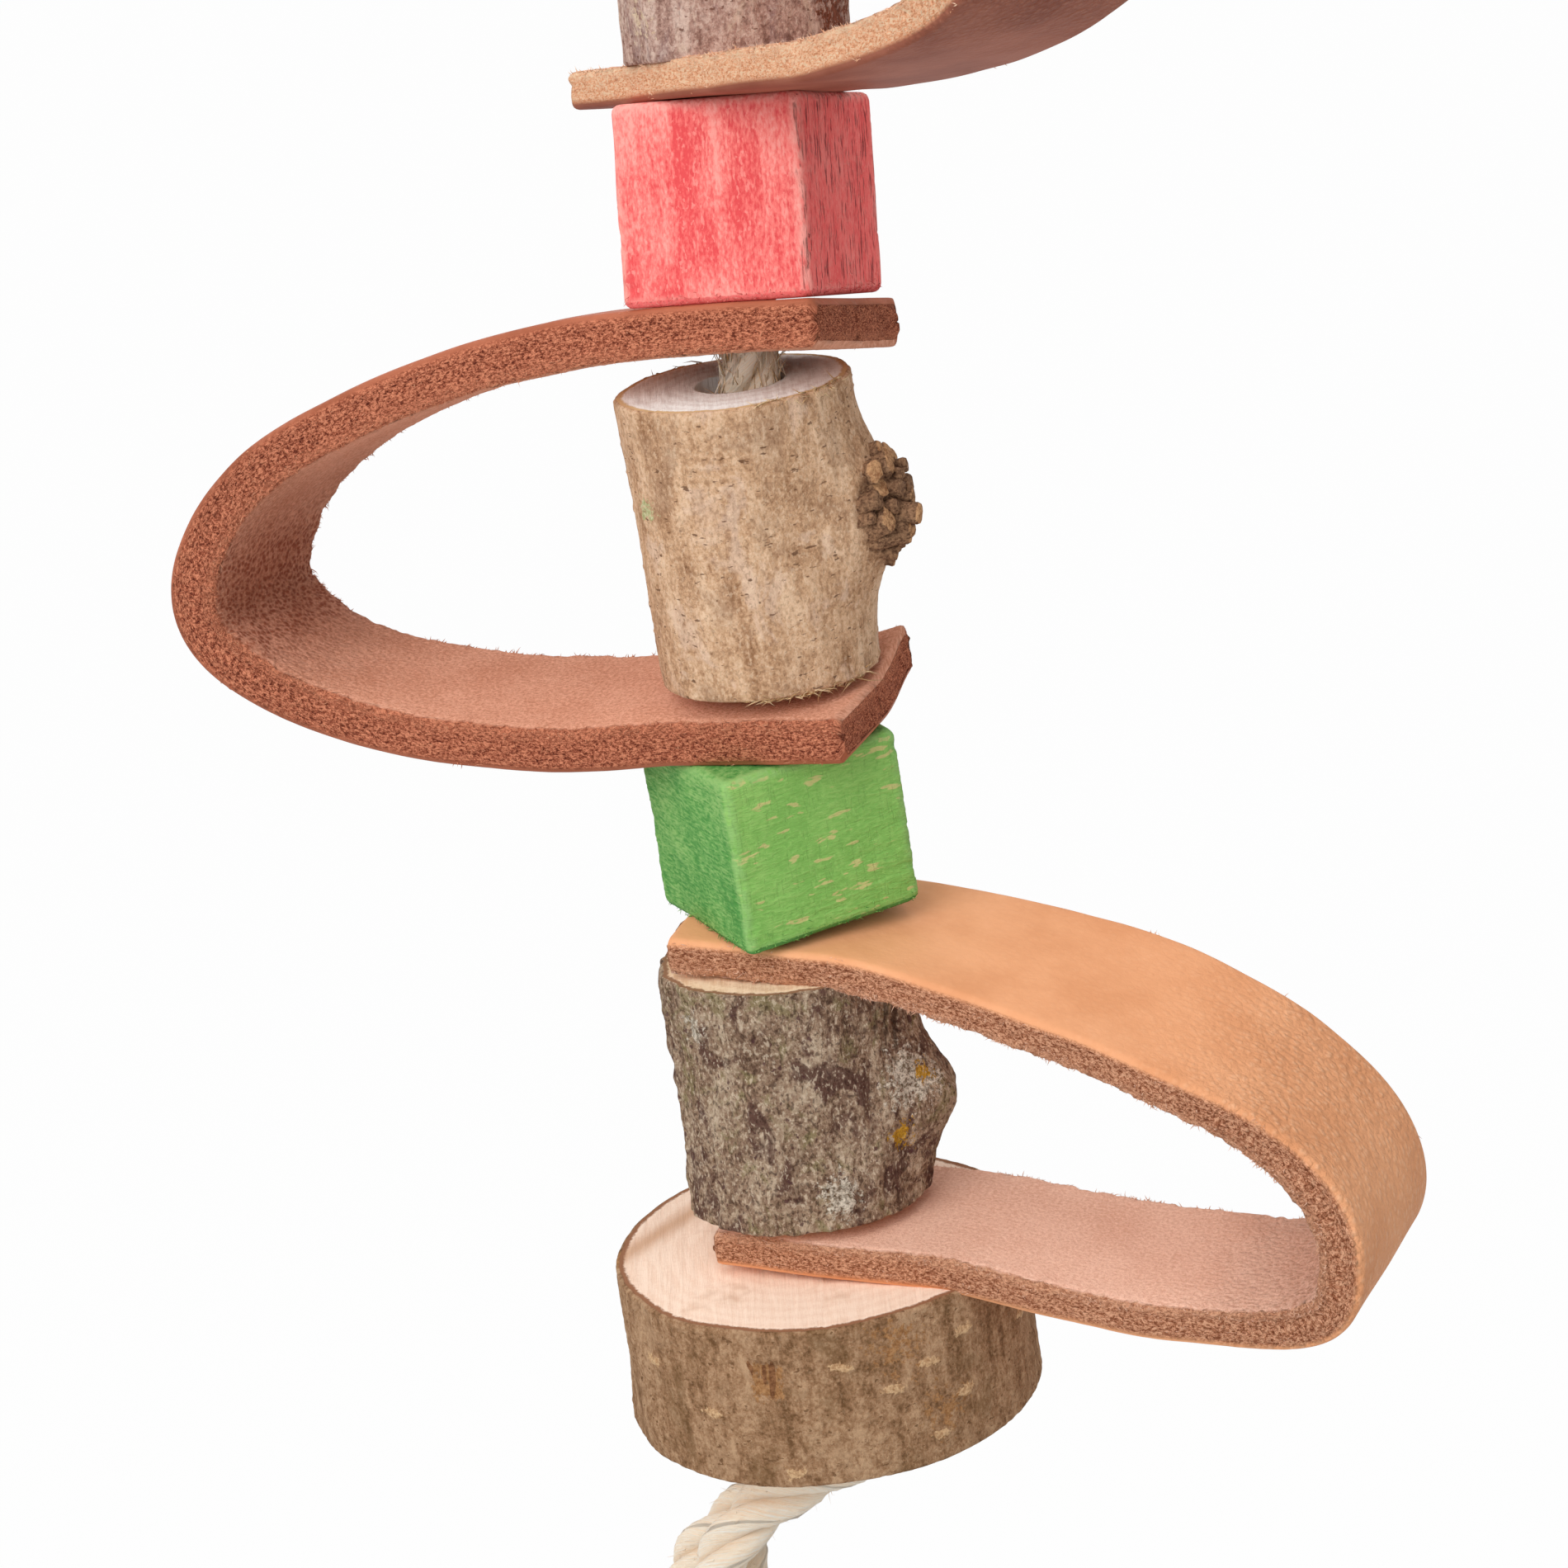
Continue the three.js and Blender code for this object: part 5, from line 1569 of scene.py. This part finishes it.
def rope_fibres(points, line, tangent):
    """Stray fibres all along the rope, a fray at the middle branch's upper mouth and a brush at both ends."""
    fuzz = fibre_finish("cotton_fuzz", rgb(232, 206, 178), rgb(252, 242, 228))
    straw = fibre_finish("cotton_fray", rgb(206, 168, 118), rgb(255, 244, 226))
    draw = np.random.default_rng(97)
    last = len(line) - 1
    rows = draw.integers(4, len(line) - 4, ROPE_FIBRES)
    strands = draw.integers(0, STRANDS, ROPE_FIBRES)
    roots = points[strands, rows, draw.integers(0, STRAND_SIDES, ROPE_FIBRES)]
    lean = unit(roots - line[rows]) * 0.5 + tangent[rows] * draw.normal(0, 1, (ROPE_FIBRES, 1))
    lengths = np.minimum(draw.gamma(2, 0.5, ROPE_FIBRES) + 0.3, 3.2)
    fibres("rope_fuzz", roots, lean, lengths, 0.035, "rope", "rope", fuzz, 98)
    middle, turn = upright("branch_middle_spin")
    mouth = middle + turn[:, 2] * BRANCH_MIDDLE["length"] / 2
    rows = draw.choice(np.flatnonzero(np.linalg.norm(line - mouth, axis=1) < 5), MOUTH_FIBRES)
    strands = draw.integers(0, STRANDS, MOUTH_FIBRES)
    roots = points[strands, rows, draw.integers(0, STRAND_SIDES, MOUTH_FIBRES)]
    lean = unit(roots - line[rows]) * draw.uniform(0.02, 0.3, (MOUTH_FIBRES, 1))
    lean += tangent[rows] * draw.choice([-1, 1], (MOUTH_FIBRES, 1)) + draw.normal(0, 0.12, (MOUTH_FIBRES, 3))
    lengths = draw.uniform(1.5, 4.5, MOUTH_FIBRES)
    fibres("rope_fray", roots, lean, lengths, 0.09, "rope", "rope", straw, 96)
    roots, leans = [], []
    for row, way in ((0, -tangent[0]), (last, tangent[last])):
        spot = draw.normal(0, 1.3, (END_FIBRES, 3))
        spot -= tangent[row] * (spot @ tangent[row])[:, None]
        roots.append(line[row] + spot - way * 1.5)
        leans.append(way + draw.normal(0, 0.25, (END_FIBRES, 3)))
    roots, leans = np.concatenate(roots), np.concatenate(leans)
    lengths = draw.uniform(2, 4.5, 2 * END_FIBRES)
    fibres("rope_ends", roots, leans, lengths, 0.1, "rope", "rope", fuzz, 99)


# Quick link


def make_link():
    """A round wire carried up one side from the opening, over the upper bow, down the other side and round
    the lower bow, with thread ridges at both ends and a dome that closes each."""
    bow = np.linspace(0, math.pi, 40)
    side, rise = LINK_SIDE_X * np.cos(bow), LINK_SIDE_X * np.sin(bow)
    start = [[LINK_SIDE_X, 0, LINK_OPENING_Z + LINK_OPENING / 2]]
    upper = together(side, 0.0, LINK_UPPER_BOW_Z + rise)
    lower = together(-side, 0.0, LINK_LOWER_BOW_Z - rise)
    end = [[LINK_SIDE_X, 0, LINK_OPENING_Z - LINK_OPENING / 2]]
    corners = np.concatenate([start, upper, lower, end])
    lengths = arc_lengths(corners)
    even = np.linspace(0, lengths[-1], WIRE_STEPS)
    line = places_at(even, lengths, corners)
    depth_way = np.broadcast_to([0, 1.0, 0], line.shape)
    flat_way = np.cross(unit(np.gradient(line, axis=0)), depth_way)
    ring = ring_of(WIRE_SIDES)
    gap = np.minimum(even, even[-1] - even)
    dome = np.sqrt(np.clip(1 - (1 - np.clip(gap / DOME_LENGTH, 0, 1)) ** 2, 0, 1))
    screw = (np.cos(TURN * even[:, None] / THREAD_PITCH + ring) - 1) / 2
    thread = THREAD_DEPTH * ease(THREAD_LENGTH + 0.5, THREAD_LENGTH - 0.5, gap)[:, None] * screw
    points = tube(line, depth_way, flat_way, ring, (LINK_WIRE / 2 + thread) * dome[:, None])
    lay = together(even[:, None], ring * 2, 0.0)
    faces = grid_faces(*points.shape[:2])
    steel = steel_finish()
    piece("quick_link_wire", points, faces, "link", "steel", steel, "quick_link", weld=True, lay=lay)
    make_sleeve(steel)


def make_sleeve(steel):
    """A six-sided nut tube: flats at the across-flats distance, cut by a cone at each end."""
    turns = np.linspace(-math.pi, math.pi, 180, endpoint=False)
    half = SLEEVE_LENGTH / 2

    def outline(turn, height):
        """The nearer to the axis of a flat and the cone, for each angle and height."""
        off = turn % (TURN / SLEEVE_SIDES) - TURN / SLEEVE_SIDES / 2
        flats = SLEEVE_ACROSS_FLATS / 2 / np.cos(off)
        cone = SLEEVE_ACROSS_FLATS / 2 + 0.12 + 1.2 * (half - np.abs(height))
        radius = np.minimum(flats, cone)
        return np.stack([radius * np.cos(turn), radius * np.sin(turn)], axis=-1)

    points, _ = drilled_block(outline, SLEEVE_BORE / 2, half, 0.15, 0.3, 8, turns)
    angle = np.arctan2(points[..., 1], points[..., 0])
    lay = np.stack([points[..., 2], 3.5 * angle, np.zeros(angle.shape)], axis=-1)
    placed = points + np.array([LINK_SIDE_X, 0, LINK_OPENING_Z])
    faces = grid_faces(*points.shape[:2], rows_meet=True)
    piece("quick_link_nut", placed, faces, "sleeve", "steel", steel, "quick_link_sleeve", lay=lay)


# Studio


def make_camera():
    """The camera's place, tilt and roll from the photograph's view of the cubes and branches."""
    rise, roll = CAMERA_RISE, CAMERA_ROLL
    forward = np.array([0, math.cos(rise), -math.sin(rise)])
    flat_up = np.array([0, math.sin(rise), math.cos(rise)])
    right = math.cos(roll) * np.array([1, 0, 0]) - math.sin(roll) * flat_up
    up = math.sin(roll) * np.array([1, 0, 0]) + math.cos(roll) * flat_up
    eye = (VIEW_CENTRE - CAMERA_DISTANCE * forward) * MM
    data = bpy.data.cameras.new("camera")
    data.sensor_width = SENSOR_WIDTH
    data.lens = FOCAL_PIXELS / PHOTO_SIDE * SENSOR_WIDTH
    data.clip_start = NEAREST_SEEN
    camera = bpy.data.objects.new("camera", data)
    frame = np.stack([right, up, -forward, eye], axis=1)
    camera.matrix_world = Matrix(np.vstack([frame, [0, 0, 0, 1]]).tolist())
    bpy.context.scene.collection.objects.link(camera)
    bpy.context.scene.camera = camera


def lamp(name, place, size, power):
    """A square soft light at a place in metres, facing the middle of the toy."""
    data = bpy.data.lights.new(name, "AREA")
    data.size = size
    data.energy = power
    light = bpy.data.objects.new(name, data)
    light.location = place
    way = Vector(place) - Vector(LAMP_AIM)
    light.rotation_euler = way.to_track_quat("Z", "Y").to_euler()
    bpy.context.scene.collection.objects.link(light)


def white_to_camera(tree, plain, white, output):
    """Shows the white shader to camera, glossy and transmission rays, and the plain one to all others."""
    rays = tree.nodes.new("ShaderNodeLightPath")
    seen = rays.outputs["Is Camera Ray"]
    for kind in ("Is Glossy Ray", "Is Transmission Ray"):
        larger = tree.nodes.new("ShaderNodeMath")
        larger.operation = "MAXIMUM"
        tree.links.new(seen, larger.inputs[0])
        tree.links.new(rays.outputs[kind], larger.inputs[1])
        seen = larger.outputs[0]
    share = tree.nodes.new("ShaderNodeMixShader")
    for socket, source in zip(share.inputs, (seen, plain, white)):
        tree.links.new(source, socket)
    tree.links.new(share.outputs[0], output)


def make_sky():
    """An even white light from all round, which shows as plain white."""
    world = bpy.data.worlds.new("studio")
    bpy.context.scene.world = world
    world.use_nodes = True
    nodes = world.node_tree.nodes
    sky = nodes["Background"]
    backdrop = nodes.new("ShaderNodeBackground")
    for light, strength in ((sky, SKY_STRENGTH), (backdrop, 1)):
        light.inputs["Color"].default_value = (1, 1, 1, 1)
        light.inputs["Strength"].default_value = strength
    output = nodes["World Output"].inputs["Surface"]
    white_to_camera(world.node_tree, sky.outputs[0], backdrop.outputs[0], output)


def floor_paint():
    """Matt white, which shows almost plain white and still takes a faint shadow."""
    paint = bpy.data.materials.new("floor_white")
    paint.use_nodes = True
    tree = paint.node_tree
    matt = tree.nodes["Principled BSDF"]
    matt.inputs["Base Color"].default_value = (0.86, 0.86, 0.86, 1)
    matt.inputs["Roughness"].default_value = 0.9
    glow = tree.nodes.new("ShaderNodeEmission")
    glow.inputs["Strength"].default_value = 1
    soft = tree.nodes.new("ShaderNodeMixShader")
    soft.inputs[0].default_value = FLOOR_GLOW
    tree.links.new(matt.outputs[0], soft.inputs[1])
    tree.links.new(glow.outputs[0], soft.inputs[2])
    white_to_camera(tree, matt.outputs[0], soft.outputs[0], tree.nodes["Material Output"].inputs["Surface"])
    return paint


def make_studio():
    """A white room: an even sky, the lamps, and a pale floor well below the toy."""
    bpy.context.scene.view_settings.view_transform = "Standard"
    make_sky()
    for light in LAMPS:
        lamp(*light)
    mesh = bpy.data.meshes.new("floor")
    sides = ((-1, -1), (1, -1), (1, 1), (-1, 1))
    mesh.from_pydata([(x * FLOOR_REACH, y * FLOOR_REACH, FLOOR_LEVEL) for x, y in sides], [], [(0, 1, 2, 3)])
    mesh.materials.append(floor_paint())
    floor = bpy.data.objects.new("floor", mesh)
    bpy.context.scene.collection.objects.link(floor)


make_camera()
make_studio()
make_rope()
make_link()
make_branch_top()
make_branch_middle()
make_branch_lower()
make_log_slice()
make_cubes()
make_loops()
